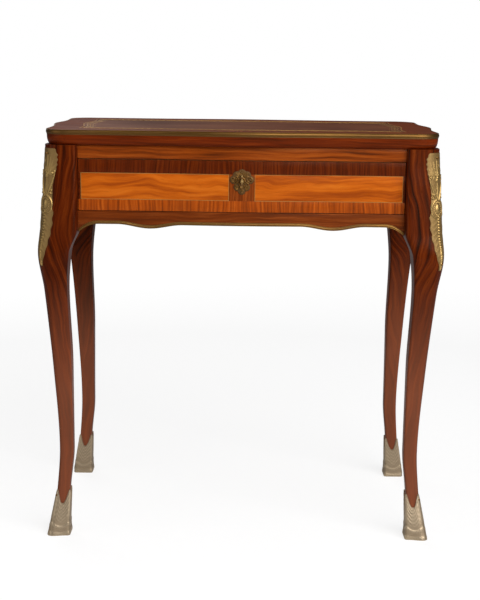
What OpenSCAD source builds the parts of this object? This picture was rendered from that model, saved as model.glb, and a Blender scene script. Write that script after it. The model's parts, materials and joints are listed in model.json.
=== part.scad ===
// A small writing table on four curved legs: a shaped top with a leather writing surface,
// one long drawer with a lock, veneered aprons all round, and gilt mounts on knees and feet.
// The table stands on the origin: +X is its right, -Y its front, +Z is up.

/* [Overall] */
// Height of the writing surface above the floor
table_height = 760; // [745:1:790]
// Width of the top across its corners
top_width = 708; // [670:2:760]
// Depth of the top across its corners
top_depth = 422; // [404:2:460]
// Radius of the top's corners in plan
corner_radius = 42; // [36:1:46]

/* [Top] */
// Thickness of the whole top
top_thickness = 27; // [24:1:32]
// How far the middle of each edge bows outwards
top_bow = 8; // [4:0.5:9]
// How far each edge draws in at its quarter points
top_hollow = 3; // [0:0.5:5]
// Height of the gilt band round the upper edge
band_height = 9; // [6:0.5:11]
// Thickness of the gilt band
band_thickness = 3; // [2:0.25:4]
// Thickness of the veneer and of the leather on the top
veneer = 1.2; // [0.8:0.1:1.6]
// Width of the veneered border round the leather
border_width = 58; // [48:1:70]

/* [Frieze] */
// How far the frieze stands back from the edge of the top
frieze_inset = 12; // [10:0.5:14]
// How far the middle of each side of the frieze bows outwards
frieze_bow = 4; // [2:0.5:5]
// How far the frieze draws in at its quarter points
frieze_hollow = 2; // [0:0.5:3]
// Height of the rail over the drawer
top_rail_height = 24; // [20:1:28]
// Depth of the rail over the drawer, from front to back
top_rail_depth = 49; // [44:1:56]
// Height of the drawer opening
opening_height = 94; // [88:1:100]
// Height of the apron rail under the drawer
apron_height = 24; // [20:1:30]
// Thickness of the apron rail under the drawer
apron_thickness = 36; // [32:1:42]
// Least thickness of the side and back rails
rail_thickness = 22; // [18:1:24]
// How far the two drops hang below the middle of an apron
drop_depth = 7; // [4:0.5:10]
// How far an apron rises beside its drops
rise_height = 0.5; // [0:0.5:8]
// How far an apron curves down where it meets a leg
ear_depth = 15; // [10:1:20]
// Height of the bright veneer panels
panel_height = 46; // [38:1:54]
// Width of the veneer strip between a panel and the upper edge of the drawer
panel_margin = 26; // [22:1:30]
// Width of the dark line beside the panels at the ends of the drawer
panel_end_margin = 4; // [3:0.5:8]
// Width of the strip between the two drawer panels
centre_strip = 46; // [40:1:60]
// Height of the gilt edging along the aprons
edging_height = 6; // [4:0.5:8]
// How far the gilt edging stands out from the frieze
edging_proud = 2.4; // [1.5:0.1:3]

/* [Legs] */
// Distance of a leg's inner faces from the edge of the top
stile_inset = 60; // [56:1:64]
// How far a leg's outer faces lie inside the edge of the top, just under the top
stile_set_back = 0; // [-2:0.5:6]
// How far a leg's outer faces stand out beyond the edge of the top beside the drawer
stile_swell = 4; // [-1:0.5:5]
// Distance of the widest point of the knee below the drawer opening
knee_drop = 75; // [66:1:90]
// How far the knee stands out beyond the edge of the top
knee_out = 14; // [11:0.5:16]
// Width of the knee
knee_width = 59; // [54:1:64]
// Width of the leg a hand's breadth below the knee
shin_width = 43.5; // [40:0.5:48]
// Width of the leg at three fifths of the knee's height
calf_width = 34.5; // [31:0.5:38]
// How far the leg lies inside the edge of the top at that height
calf_in = 10; // [6:0.5:13]
// Height of the slimmest part of the leg above the foot
ankle_height = 165; // [150:1:180]
// How far the ankle lies inside the edge of the top
ankle_in = 18.5; // [14:0.5:22]
// Width of the ankle
ankle_width = 26; // [24:1:31]
// Width of the wooden foot inside its shoe
foot_width = 30; // [28:1:34]
// How far the wooden foot lies inside the edge of the top
foot_in = 4; // [1:0.5:6]
// How much nearer to the middle the feet stand from front to back than from side to side
foot_tuck = 7; // [3:0.5:9]
// Height of the gilt shoes
shoe_height = 86; // [70:1:100]
// Thickness of the sole of a gilt shoe
sole_thickness = 5; // [4:0.5:8]
// How far the toe of a gilt shoe reaches out
toe_reach = 7; // [4:0.5:9]
// Distance of a knee mount's upper end from the top
knee_mount_drop = 6; // [4:0.5:9]
// How far a knee mount reaches below the widest point of the knee
knee_mount_tail = 24; // [14:1:34]
// Thickness of the knee mounts
knee_mount_thickness = 3.6; // [2.5:0.1:4.5]

/* [Drawer] */
// Gap between the drawer front and the frame round it
drawer_gap = 1; // [0.6:0.1:1.6]
// Thickness of the drawer front at its ends
front_thickness = 20; // [18:1:24]
// Thickness of the drawer's veneer
drawer_veneer = 1; // [0.8:0.1:1.4]
// Thickness of the drawer sides and back
side_thickness = 10; // [8:0.5:12]
// Height of the drawer sides
side_height = 82; // [74:1:84]
// Free depth behind the closed drawer
drawer_clearance = 14.8; // [8:0.1:60]
// Thickness of the drawer bottom
bottom_thickness = 6; // [4:0.5:7]
// Height of the drawer bottom above the lower edge of the sides
bottom_raise = 8; // [7:0.5:10]
// Depth of the grooves that hold the drawer bottom
groove_depth = 5; // [3:0.5:6]
// Number of tails in each dovetailed corner
tail_count = 3; // [2:1:4]

/* [Lock] */
// Distance of the keyhole below the upper edge of the opening
keyhole_drop = 37; // [35:0.5:40]
// Width of the lock case
lock_width = 60; // [50:1:66]
// Height of the lock case
lock_height = 52; // [49:1:56]
// Thickness of the lock case
lock_thickness = 13; // [12:0.5:14]
// Width of the bolt
bolt_width = 18; // [14:1:22]
// Thickness of the bolt
bolt_thickness = 6; // [5:0.5:7]
// Throw of the bolt
bolt_throw = 8; // [6:0.5:9]
// Radius of the key's shank
shank_radius = 2.3; // [2:0.1:2.6]
// Length of the key's bit from the middle of the shank
bit_reach = 8.5; // [7:0.25:9]
// Radius of the main ring of the key's bow
bow_radius = 6.2; // [5:0.1:6.5]
// Width of the keyhole plate
plate_width = 44; // [38:1:50]
// Thickness of the keyhole plate
plate_thickness = 2.5; // [2:0.1:3]

/* [Hidden] */
$fn = 32;
// Gap left between pieces that only touch
seat = 0.2;
// Play round a tenon, a tail or a panel in its groove
play = 0.15;
// Gap at the end of a piece that is let in between two others
fit_gap = 0.3;
// Gap round a piece of veneer
glue_line = 0.05;
// How far a blank or a cutter runs past the shape
blank_drop = 60;
cutter_reach = 20;
half_width = top_width / 2;
half_depth = top_depth / 2;
frame_top = table_height - top_thickness;
opening_top = frame_top - top_rail_height;
opening_bottom = opening_top - opening_height;
apron_bottom = opening_bottom - apron_height;
knee_height = opening_bottom - knee_drop;
board_top = table_height - veneer;
band_bottom = table_height - band_height;
// The moulded edge under the gilt band: its steps, its depth and its first step in
edge_layers = 4;
edge_depth = 5;
edge_fillet = 1.5;
long_steps = 32;
short_steps = 20;
// Where the curved edges start, beside the corner arcs
long_reach = half_width - corner_radius;
short_reach = half_depth - corner_radius;
// Inner faces of the legs
stile_x = half_width - stile_inset;
stile_y = half_depth - stile_inset;
face_x = half_width - frieze_inset;
face_y = half_depth - frieze_inset;
rail_back_x = face_x - veneer - rail_thickness;
rail_back_y = face_y - veneer - rail_thickness;
apron_back = face_y - apron_thickness;
top_rail_back = face_y - top_rail_depth;
panel_top = opening_top - panel_margin;
panel_bottom = panel_top - panel_height;

// A smooth curve through rows of [position, value, ...], without overshoot
function slope_between(rows, i, column) =
    (rows[i + 1][column] - rows[i][column]) / (rows[i + 1][0] - rows[i][0]);
function slope_at(rows, i, column) =
    i == 0 || i == len(rows) - 1 ? 0 :
    let (before = slope_between(rows, i - 1, column))
    let (after = slope_between(rows, i, column))
    before * after <= 0 ? 0 : 2 * before * after / (before + after);
function curve(rows, position, column) =
    let (at = min(max(position, rows[0][0]), rows[len(rows) - 1][0]))
    let (passed = len([for (row = rows) if (row[0] <= at) 1]))
    let (i = min(passed, len(rows) - 1) - 1)
    let (span = rows[i + 1][0] - rows[i][0])
    let (t = (at - rows[i][0]) / span)
    let (ease = t * t * (3 - 2 * t))
    rows[i][column] * (1 - ease) + rows[i + 1][column] * ease
    + span * t * (1 - t) * (1 - t) * slope_at(rows, i, column)
    - span * t * t * (1 - t) * slope_at(rows, i + 1, column);

// How far an edge swells out at a place along it: out in the middle, in at the quarters
function swell(place, reach, bow, hollow) =
    abs(place) >= reach ? 0 :
    bow * pow(cos(90 * place / reach), 4) - hollow * pow(sin(180 * place / reach), 2);
function top_swell(place, reach) = swell(place, reach, top_bow, top_hollow);
function frieze_swell(place, reach) = swell(place, reach, frieze_bow, frieze_hollow);

// One edge of the top in plan, from its left end to its right end as seen from outside
function top_edge(reach, out, swell_reach, steps) =
    [for (k = [0:steps]) let (place = reach * (2 * k / steps - 1))
        [place, -(out + top_swell(place, swell_reach))]];
function turned(points, angle) =
    [for (p = points) [p[0] * cos(angle) - p[1] * sin(angle), p[0] * sin(angle) + p[1] * cos(angle)]];
function arc(centre, radius, from, steps) =
    [for (k = [1:steps - 1]) let (a = from + 90 * k / steps) centre + radius * [cos(a), sin(a)]];
// The whole outline of the top, drawn in by an inset
function outline(inset) =
    let (radius = max(corner_radius - inset, 4))
    let (x = half_width - inset - radius)
    let (y = half_depth - inset - radius)
    concat(
        top_edge(x, half_depth - inset, long_reach, long_steps),
        arc([x, -y], radius, -90, 8),
        turned(top_edge(y, half_width - inset, short_reach, short_steps), 90),
        arc([x, y], radius, 0, 8),
        turned(top_edge(x, half_depth - inset, long_reach, long_steps), 180),
        arc([-x, y], radius, 90, 8),
        turned(top_edge(y, half_width - inset, short_reach, short_steps), 270),
        arc([-x, -y], radius, 180, 8));

// A board that follows the front of the frieze: its curved face lies out from the middle
// plane by the given distance, and its back is either flat or follows the face
module front_board(from, to, out, back, low, high, flat = true) {
    steps = long_steps;
    face = [for (k = [0:steps]) let (x = from + (to - from) * k / steps)
        [x, -(out + frieze_swell(x, long_reach))]];
    rear = flat ? [[to, -back], [from, -back]] :
        [for (k = [steps:-1:0]) let (x = from + (to - from) * k / steps)
            [x, -(back + frieze_swell(x, long_reach))]];
    translate([0, 0, low])
        linear_extrude(height = high - low)
            polygon(concat(face, rear));
}
// The same along the right side of the frieze
module side_board(reach, out, back, low, high, flat = true) {
    steps = short_steps;
    face = [for (k = [0:steps]) let (y = reach * (2 * k / steps - 1))
        [out + frieze_swell(y, short_reach), y]];
    rear = flat ? [[back, reach], [back, -reach]] :
        [for (k = [steps:-1:0]) let (y = reach * (2 * k / steps - 1))
            [back + frieze_swell(y, short_reach), y]];
    translate([0, 0, low])
        linear_extrude(height = high - low)
            polygon(concat(face, rear));
}

// The lower edge of an apron: level in the middle, a drop on each side, a rise beside it,
// and a curve down into the leg
function bump(u) = abs(u) >= 1 ? 0 : pow(cos(90 * u), 2);
function ramp(u) = u <= 0 ? 0 : u >= 1 ? 1 : u * u * (3 - 2 * u);
function apron_edge(place, reach) =
    let (u = abs(place) / reach)
    apron_bottom - drop_depth * bump((u - 0.56) / 0.2)
    + rise_height * ramp((u - 0.62) / 0.16)
    - (rise_height + ear_depth) * pow(ramp((u - 0.86) / 0.28) * 2, 1.5);
function apron_points(reach, lift) =
    [for (k = [0:long_steps]) let (place = reach * (2 * k / long_steps - 1))
        [place, apron_edge(place, reach) + lift]];
// Everything above the lower edge of an apron, along X
module above_apron(reach, high) {
    rotate([90, 0, 0])
        linear_extrude(height = top_width + 2 * corner_radius, center = true)
            polygon(concat(apron_points(reach, 0), [[reach, high], [-reach, high]]));
}
// A band along the lower edge of an apron
module along_apron(reach) {
    low = apron_points(reach, 0);
    high = apron_points(reach, edging_height);
    rotate([90, 0, 0])
        linear_extrude(height = top_width + 2 * corner_radius, center = true)
            polygon(concat(low, [for (k = [len(high) - 1:-1:0]) high[k]]));
}

// Legs: rows of [height, outer face, inner face, tuck], measured from the edge of the top
leg_rows = [
    [sole_thickness, -foot_in, -foot_in - foot_width, foot_tuck],
    [shoe_height, -(ankle_in + foot_in) * 0.6, -(ankle_in + foot_in) * 0.6 - ankle_width + 2, foot_tuck],
    [ankle_height, -ankle_in, -ankle_in - ankle_width, foot_tuck * 0.8],
    [knee_height * 0.6, -calf_in, -calf_in - calf_width, foot_tuck * 0.4],
    [knee_height * 0.87, knee_out * 0.25, knee_out * 0.25 - shin_width, foot_tuck * 0.1],
    [knee_height, knee_out, knee_out - knee_width, 0],
    [opening_bottom - knee_drop * 0.4, knee_out * 0.72, -stile_inset, 0],
    [opening_bottom + opening_height / 2, stile_swell, -stile_inset, 0],
    [frame_top - seat, -stile_set_back, -stile_inset, 0]];
leg_top = frame_top - seat;
rings_per_row = 4;
corner_steps = 4;
// Radius of the outer arris as a share of the leg's width, low on the leg and at the knee,
// and of its three other arrises
shin_arris = 0.28;
knee_arris = 0.5;
small_arris = 0.12;
leg_heights = concat(
    [for (i = [0:len(leg_rows) - 2]) for (k = [0:rings_per_row - 1])
        leg_rows[i][0] + (leg_rows[i + 1][0] - leg_rows[i][0]) * k / rings_per_row],
    [leg_top]);
function leg_outer(z) = curve(leg_rows, z, 1);
function leg_inner(z) = curve(leg_rows, z, 2);
function leg_tuck(z) = curve(leg_rows, z, 3);
function arris_radius(z) =
    let (width = leg_outer(z) - leg_inner(z))
    let (rounding = ramp((z - knee_height * 0.7) / (knee_height * 0.25)))
    width * (shin_arris + (knee_arris - shin_arris) * rounding);
function leg_corner(centre, radius, from, z) =
    [for (k = [0:corner_steps]) let (a = from + 90 * k / corner_steps)
        [centre[0] + radius * cos(a), centre[1] + radius * sin(a), z]];
// The outline of the leg at a height, grown outwards: the leg stands at +X +Y
function leg_ring(z, grow) =
    let (outer = leg_outer(z) + grow)
    let (inner = leg_inner(z) - grow)
    let (tuck = leg_tuck(z))
    let (small = small_arris * (outer - inner))
    let (big = arris_radius(z) + grow)
    let (x_out = half_width + outer)
    let (x_in = half_width + inner)
    let (y_out = half_depth + outer - tuck)
    let (y_in = half_depth + inner - tuck)
    concat(
        leg_corner([x_out - small, y_in + small], small, -90, z),
        leg_corner([x_out - big, y_out - big], big, 0, z),
        leg_corner([x_in + small, y_out - small], small, 90, z),
        leg_corner([x_in + small, y_in + small], small, 180, z));
// A closed skin over rings of points, counted upwards. A crescent's ends are closed by strips
// from its outer to its inner points, so that no face leaves the crescent
module skin(rings, crescent = false) {
    n = len(rings[0]);
    count = len(rings);
    last = (count - 1) * n;
    sides = [for (i = [0:count - 2]) for (j = [0:n - 1])
        let (a = i * n + j)
        let (b = i * n + (j + 1) % n)
        each [[a, a + n, b + n], [a, b + n, b]]];
    strips = [for (j = [0:n / 2 - 2]) [j, j + 1, n - 2 - j, n - 1 - j]];
    low_end = crescent ? strips : [[for (j = [0:n - 1]) j]];
    caps = concat(low_end, [for (cap = low_end) [for (j = [len(cap) - 1:-1:0]) last + cap[j]]]);
    polyhedron(points = [for (ring = rings) each ring], faces = concat(sides, caps));
}

// Tenons: the front and back rails enter the legs sideways, the side rails lengthways
tenon_length = 24;
tenon_thickness = 10;
tenon_shoulder = 4;
tenon_set_back = 12;
tenon_root = 2;
front_tenon_y = face_y - tenon_set_back;
side_tenon_x = face_x - veneer - tenon_set_back;
module front_tenon(low, high, grow) {
    translate([stile_x - tenon_root, -front_tenon_y - grow, low + tenon_shoulder - grow])
        cube([tenon_length + tenon_root + grow, tenon_thickness + 2 * grow,
            high - low - 2 * tenon_shoulder + 2 * grow]);
}
module side_tenon(low, high, grow) {
    translate([side_tenon_x - tenon_thickness - grow, stile_y - tenon_root,
        low + tenon_shoulder - grow])
        cube([tenon_thickness + 2 * grow, tenon_length + tenon_root + grow,
            high - low - 2 * tenon_shoulder + 2 * grow]);
}
side_tenon_low = opening_bottom - 4;
module leg(front) {
    color([0.36, 0.13, 0.07])
        difference() {
            skin([for (z = leg_heights) leg_ring(z, 0)]);
            mount_pin_holes();
            shoe_pin_hole();
            side_tenon(side_tenon_low, frame_top, play);
            if (front) {
                mirror([0, 1, 0]) front_tenon(opening_top, frame_top, play);
                mirror([0, 1, 0]) front_tenon(opening_bottom - apron_height, opening_bottom, play);
            } else {
                mirror([0, 1, 0]) front_tenon(side_tenon_low, frame_top, play);
            }
        }
}
// Puts what is modelled at +X +Y at another corner
module at_corner(right, front) {
    mirror([right ? 0 : 1, 0, 0])
        mirror([0, front ? 1 : 0, 0])
            children();
}
module leg_front_left() { at_corner(false, true) leg(true); }
module leg_front_right() { at_corner(true, true) leg(true); }
module leg_rear_left() { at_corner(false, false) leg(false); }
module leg_rear_right() { at_corner(true, false) leg(false); }

// Top screws: four through the kickers and two through the rail over the drawer
screw_radius = 2;
screw_head = 4;
screw_bite = 14;
screw_sink = 2.5;
rail_screw_inset = 14;
kicker_outer = stile_x - 0.4;
kicker_width = 30;
screw_x = kicker_outer - kicker_width / 2;
screw_y = stile_y * 0.7;
top_screw_places = [[-screw_x, -screw_y], [screw_x, -screw_y], [-screw_x, screw_y],
    [screw_x, screw_y], [-screw_x / 2, -top_rail_back - rail_screw_inset],
    [screw_x / 2, -top_rail_back - rail_screw_inset]];
module top_screw(grow) {
    translate([0, 0, opening_top + 1 - grow])
        cylinder(r1 = screw_head + grow, r2 = screw_radius + grow, h = screw_sink);
    translate([0, 0, opening_top + 2])
        cylinder(r = screw_radius + grow, h = top_rail_height + screw_bite - 2 + grow);
    if (grow > 0)
        translate([0, 0, opening_top - 2])
            cylinder(r = screw_head + grow, h = 3);
}
module all_top_screws(grow) {
    for (place = top_screw_places)
        translate([place[0], place[1], 0])
            top_screw(grow);
}
module top_screws() {
    color([0.5, 0.48, 0.45])
        all_top_screws(0);
}

// Top
function edge_inset(k) =
    edge_fillet + edge_depth * (1 - sqrt(1 - pow((k + 0.5) / edge_layers, 2)));
layer_height = (band_bottom - frame_top) / edge_layers;
module top_board() {
    color([0.34, 0.12, 0.06])
        difference() {
            union() {
                translate([0, 0, band_bottom - 1])
                    linear_extrude(height = board_top - band_bottom + 1)
                        polygon(outline(band_thickness + seat));
                for (k = [0:edge_layers - 1])
                    translate([0, 0, band_bottom - (k + 1) * layer_height])
                        linear_extrude(height = layer_height)
                            polygon(outline(edge_inset(k)));
            }
            all_top_screws(play);
        }
}
module top_band() {
    color([0.78, 0.6, 0.3])
        translate([0, 0, band_bottom + glue_line])
            linear_extrude(height = band_height - glue_line)
                difference() {
                    polygon(outline(0));
                    polygon(outline(band_thickness));
                }
}
module top_border() {
    color([0.4, 0.16, 0.08])
        translate([0, 0, board_top])
            linear_extrude(height = veneer)
                difference() {
                    polygon(outline(band_thickness + seat));
                    polygon(outline(border_width));
                }
}
leather_drop = 0.3;
module leather_skiver() {
    color([0.35, 0.2, 0.11])
        translate([0, 0, board_top])
            linear_extrude(height = veneer - leather_drop)
                polygon(outline(border_width + seat));
}

// Frame
end_gap = 0.1;
module top_rail() {
    slot = [bolt_width + 3, bolt_thickness + 3, bolt_throw + 3];
    color([0.42, 0.17, 0.08])
        difference() {
            union() {
                front_board(-stile_x + end_gap, stile_x - end_gap, face_y, top_rail_back,
                    opening_top, frame_top - seat);
                front_tenon(opening_top, frame_top, 0);
                mirror([1, 0, 0]) front_tenon(opening_top, frame_top, 0);
            }
            translate([-slot[0] / 2, bolt_y - slot[1] / 2, opening_top - 1])
                cube([slot[0], slot[1], slot[2] + 1]);
            all_top_screws(play);
        }
}
module apron_rail() {
    color([0.42, 0.18, 0.09])
        union() {
            intersection() {
                front_board(-stile_x + end_gap, stile_x - end_gap, face_y, apron_back,
                    apron_bottom - blank_drop, opening_bottom);
                above_apron(stile_x, opening_bottom + 1);
            }
            front_tenon(apron_bottom, opening_bottom, 0);
            mirror([1, 0, 0]) front_tenon(apron_bottom, opening_bottom, 0);
        }
}
module back_rail() {
    color([0.5, 0.33, 0.18])
        mirror([0, 1, 0])
            union() {
                intersection() {
                    front_board(-stile_x + end_gap, stile_x - end_gap, face_y - veneer,
                        rail_back_y, apron_bottom - blank_drop, frame_top - seat);
                    above_apron(stile_x, frame_top);
                }
                front_tenon(side_tenon_low, frame_top, 0);
                mirror([1, 0, 0]) front_tenon(side_tenon_low, frame_top, 0);
            }
}
module side_rail() {
    color([0.5, 0.33, 0.18])
        union() {
            intersection() {
                side_board(stile_y - end_gap, face_x - veneer, rail_back_x,
                    apron_bottom - blank_drop, frame_top - seat);
                rotate([0, 0, 90])
                    above_apron(stile_y, frame_top);
            }
            side_tenon(side_tenon_low, frame_top, 0);
            mirror([0, 1, 0]) side_tenon(side_tenon_low, frame_top, 0);
        }
}
module side_rail_left() { mirror([1, 0, 0]) side_rail(); }
module side_rail_right() { side_rail(); }

// Veneer of the sides and the back: a dark frame round a bright panel
panel_inset = 14;
module side_window(grow) {
    translate([0, 0, panel_bottom - grow])
        linear_extrude(height = panel_height + 2 * grow)
            translate([face_x - 2 * cutter_reach, -stile_y + panel_inset - grow])
                square([4 * cutter_reach, 2 * (stile_y - panel_inset + grow)]);
}
module side_veneer_sheet(low, high) {
    side_board(stile_y - end_gap, face_x, face_x - veneer, low, high, flat = false);
}
module side_veneer() {
    color([0.42, 0.18, 0.09])
        difference() {
            intersection() {
                side_veneer_sheet(apron_bottom - blank_drop, frame_top - seat);
                rotate([0, 0, 90])
                    above_apron(stile_y, frame_top);
            }
            side_window(0);
        }
}
module side_panel() {
    color([0.75, 0.4, 0.14])
        intersection() {
            side_veneer_sheet(panel_bottom + glue_line, panel_top - glue_line);
            side_window(-glue_line);
        }
}
module side_veneer_left() { mirror([1, 0, 0]) side_veneer(); }
module side_veneer_right() { side_veneer(); }
module side_panel_left() { mirror([1, 0, 0]) side_panel(); }
module side_panel_right() { side_panel(); }
module back_window(grow) {
    translate([-stile_x + panel_inset - grow, -face_y - cutter_reach, panel_bottom - grow])
        cube([2 * (stile_x - panel_inset + grow), 2 * cutter_reach, panel_height + 2 * grow]);
}
module back_veneer_sheet(low, high) {
    front_board(-stile_x + end_gap, stile_x - end_gap, face_y, face_y - veneer,
        low, high, flat = false);
}
module back_veneer() {
    color([0.42, 0.18, 0.09])
        mirror([0, 1, 0])
            difference() {
                intersection() {
                    back_veneer_sheet(apron_bottom - blank_drop, frame_top - seat);
                    above_apron(stile_x, frame_top);
                }
                back_window(0);
            }
}
module back_panel() {
    color([0.75, 0.4, 0.14])
        mirror([0, 1, 0])
            intersection() {
                back_veneer_sheet(panel_bottom + glue_line, panel_top - glue_line);
                back_window(-glue_line);
            }
}

// Gilt edging along the aprons
module edging_long() {
    color([0.78, 0.6, 0.3])
        intersection() {
            front_board(-stile_x + 1, stile_x - 1, face_y + edging_proud, face_y + seat,
                apron_bottom - blank_drop, opening_bottom, flat = false);
            along_apron(stile_x);
        }
}
module edging_side() {
    color([0.78, 0.6, 0.3])
        intersection() {
            side_board(stile_y - 1, face_x + edging_proud, face_x + seat,
                apron_bottom - blank_drop, opening_bottom, flat = false);
            rotate([0, 0, 90])
                along_apron(stile_y);
        }
}
module edging_front() { edging_long(); }
module edging_back() { mirror([0, 1, 0]) edging_long(); }
module edging_left() { mirror([1, 0, 0]) edging_side(); }
module edging_right() { edging_side(); }

// Runners, guides and kickers of the drawer, and its stops
drawer_side_x = stile_x - 3;
runner_height = 15;
guide_height = 50;
runner_back = rail_back_y - fit_gap;
module runner() {
    color([0.66, 0.5, 0.32])
        translate([kicker_outer - kicker_width, -apron_back + fit_gap, opening_bottom - runner_height])
            cube([kicker_width, apron_back + runner_back - fit_gap, runner_height]);
}
module kicker() {
    color([0.66, 0.5, 0.32])
        difference() {
            translate([kicker_outer - kicker_width, -top_rail_back + fit_gap, opening_top + fit_gap])
                cube([kicker_width, top_rail_back + runner_back - fit_gap, top_rail_height - 2 * fit_gap]);
            all_top_screws(play);
        }
}
module guide() {
    low = opening_bottom - runner_height;
    color([0.66, 0.5, 0.32])
        translate([stile_x, -stile_y + 0.5, low])
            cube([rail_back_x - fit_gap - stile_x, 2 * stile_y - 1, guide_height]);
}
module runner_left() { mirror([1, 0, 0]) runner(); }
module runner_right() { runner(); }
module guide_left() { mirror([1, 0, 0]) guide(); }
module guide_right() { guide(); }
module kicker_left() { mirror([1, 0, 0]) kicker(); }
module kicker_right() { kicker(); }
stop_height = 5;
stop_length = 30;
module drawer_stops() {
    depth = front_back - apron_back - 1;
    color([0.66, 0.5, 0.32])
        for (side = [-1, 1])
            translate([side * stile_x * 0.6 - stop_length / 2, -front_back + fit_gap, opening_bottom])
                cube([stop_length, depth, stop_height]);
}

// Knee mounts: gilt shells on the outer arris of each leg, from the top down over the knee
knee_mount_top = frame_top - knee_mount_drop;
knee_mount_low = knee_height - knee_mount_tail;
mount_length = knee_mount_top - knee_mount_low;
// Rows of [height, half of the width along the wood]
mount_rows = [
    [knee_mount_low, 3],
    [knee_mount_low + mount_length * 0.16, 13],
    [knee_mount_low + mount_length * 0.42, 19],
    [knee_mount_low + mount_length * 0.66, 14],
    [knee_mount_low + mount_length * 0.9, 21],
    [knee_mount_top, 20]];
mount_rings = 22;
mount_edge = 0.8;
mount_across = 4;
// A point on the leg's surface at a distance along it from the middle of the outer arris
function arris_point(z, along, grow) =
    let (radius = arris_radius(z))
    let (outer = leg_outer(z))
    let (x = half_width + outer - radius)
    let (y = half_depth + outer - leg_tuck(z) - radius)
    let (quarter = radius * PI / 4)
    let (reach = max(abs(along) - quarter, 0))
    let (side = along < 0 ? -1 : 1)
    let (a = 45 + side * min(abs(along), quarter) / radius * 180 / PI)
    [x + (radius + grow) * cos(a) + (side > 0 ? -reach : 0),
        y + (radius + grow) * sin(a) + (side > 0 ? 0 : -reach), z];
function mount_ring(k) =
    let (z = knee_mount_low + mount_length * k / mount_rings)
    let (half = curve(mount_rows, z, 1))
    let (end = min(1, min(k, mount_rings - k) / 1.5 + 0.4))
    concat(
        [for (j = [-mount_across:mount_across]) let (u = j / mount_across)
            let (swelling = end * sqrt(1 - 0.9 * u * u))
            arris_point(z, half * u, seat + mount_edge + (knee_mount_thickness - mount_edge) * swelling)],
        [for (j = [mount_across:-1:-mount_across])
            arris_point(z, half * j / mount_across, seat)]);
module knee_mount(right, front) {
    color([0.78, 0.6, 0.3])
        at_corner(right, front)
            difference() {
                skin([for (k = [0:mount_rings]) mount_ring(k)], crescent = true);
                mount_pin_holes();
            }
}
module knee_mount_front_left() { knee_mount(false, true); }
module knee_mount_front_right() { knee_mount(true, true); }
module knee_mount_rear_left() { knee_mount(false, false); }
module knee_mount_rear_right() { knee_mount(true, false); }

// Pins that hold the mounts and the shoes, driven in along the diagonal of the leg
pin_radius = 1;
pin_head = 2;
pin_length = 11;
mount_pin_heights = [knee_mount_low + 12, knee_mount_top - 9];
shoe_pin_height = shoe_height - 11;
module diagonal(z, grow) {
    translate(arris_point(z, 0, grow))
        rotate([0, 90, 45])
            children();
}
module pin_at(z, grow) {
    diagonal(z, grow) {
        cylinder(r1 = pin_head, r2 = pin_head * 0.6, h = 1.1);
        translate([0, 0, -pin_length])
            cylinder(r = pin_radius, h = pin_length + 0.5);
    }
}
module pin_hole(z, grow) {
    diagonal(z, grow)
        translate([0, 0, -pin_length - 0.5])
            cylinder(r = pin_radius + play, h = pin_length + 12);
}
mount_pin_grow = seat + knee_mount_thickness + 0.05;
shoe_pin_grow = 3.2;
module mount_pin_holes() {
    for (z = mount_pin_heights)
        pin_hole(z, mount_pin_grow);
}
module shoe_pin_hole() {
    pin_hole(shoe_pin_height, shoe_pin_grow);
}
module mount_pins() {
    color([0.8, 0.63, 0.33])
        for (right = [false, true], front = [false, true])
            at_corner(right, front) {
                for (z = mount_pin_heights)
                    pin_at(z, mount_pin_grow);
                pin_at(shoe_pin_height, shoe_pin_grow);
            }
}

// Gilt shoes: a cast sock over each foot, with a toe that reaches out along the diagonal
// Rows of [height, how far it stands out from the wood, reach of the toe]
shoe_rows = [
    [0, 4.5, toe_reach],
    [sole_thickness * 2, 5.2, toe_reach * 0.9],
    [shoe_height * 0.32, 3.6, toe_reach * 0.35],
    [shoe_height * 0.65, 2.9, 0.6],
    [shoe_height, 2.1, 0]];
shoe_rings = 13;
function toe_push(p, centre, reach) =
    let (d = [p[0] - centre[0], p[1] - centre[1]])
    let (along = max((d[0] + d[1]) / sqrt(2) / norm(d), 0))
    [p[0] + reach * along * along * 0.7, p[1] + reach * along * along * 0.7, p[2]];
function shoe_ring(z) =
    let (middle = (leg_outer(z) + leg_inner(z)) / 2)
    let (centre = [half_width + middle, half_depth + middle - leg_tuck(z)])
    [for (p = leg_ring(z, curve(shoe_rows, z, 1))) toe_push(p, centre, curve(shoe_rows, z, 2))];
module shoe(right, front) {
    cavity = [sole_thickness - seat, shoe_height * 0.3, shoe_height * 0.6, shoe_height * 0.85,
        shoe_height + 2];
    cavity_rings = [for (i = [0:len(cavity) - 2]) for (k = [0:2])
        cavity[i] + (cavity[i + 1] - cavity[i]) * k / 3];
    color([0.78, 0.6, 0.3])
        at_corner(right, front)
            difference() {
                skin([for (k = [0:shoe_rings]) shoe_ring(shoe_height * k / shoe_rings)]);
                skin([for (z = concat(cavity_rings, [shoe_height + 2])) leg_ring(z, 0.35)]);
                shoe_pin_hole();
            }
}
module shoe_front_left() { shoe(false, true); }
module shoe_front_right() { shoe(true, true); }
module shoe_rear_left() { shoe(false, false); }
module shoe_rear_right() { shoe(true, false); }

// Drawer
side_low = opening_bottom + drawer_gap;
side_top = side_low + side_height;
front_top = opening_top - drawer_gap;
front_back = face_y - front_thickness;
front_reach = stile_x - drawer_gap;
box_length = front_back + rail_back_y - drawer_clearance;
box_end = box_length - front_back;
box_inner_x = drawer_side_x - side_thickness;
bottom_low = side_low + bottom_raise;
bottom_top = bottom_low + bottom_thickness;
lap = front_thickness * 0.6;
back_low = bottom_top + seat;
back_drop = 6;
back_top = side_top - back_drop;
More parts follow.
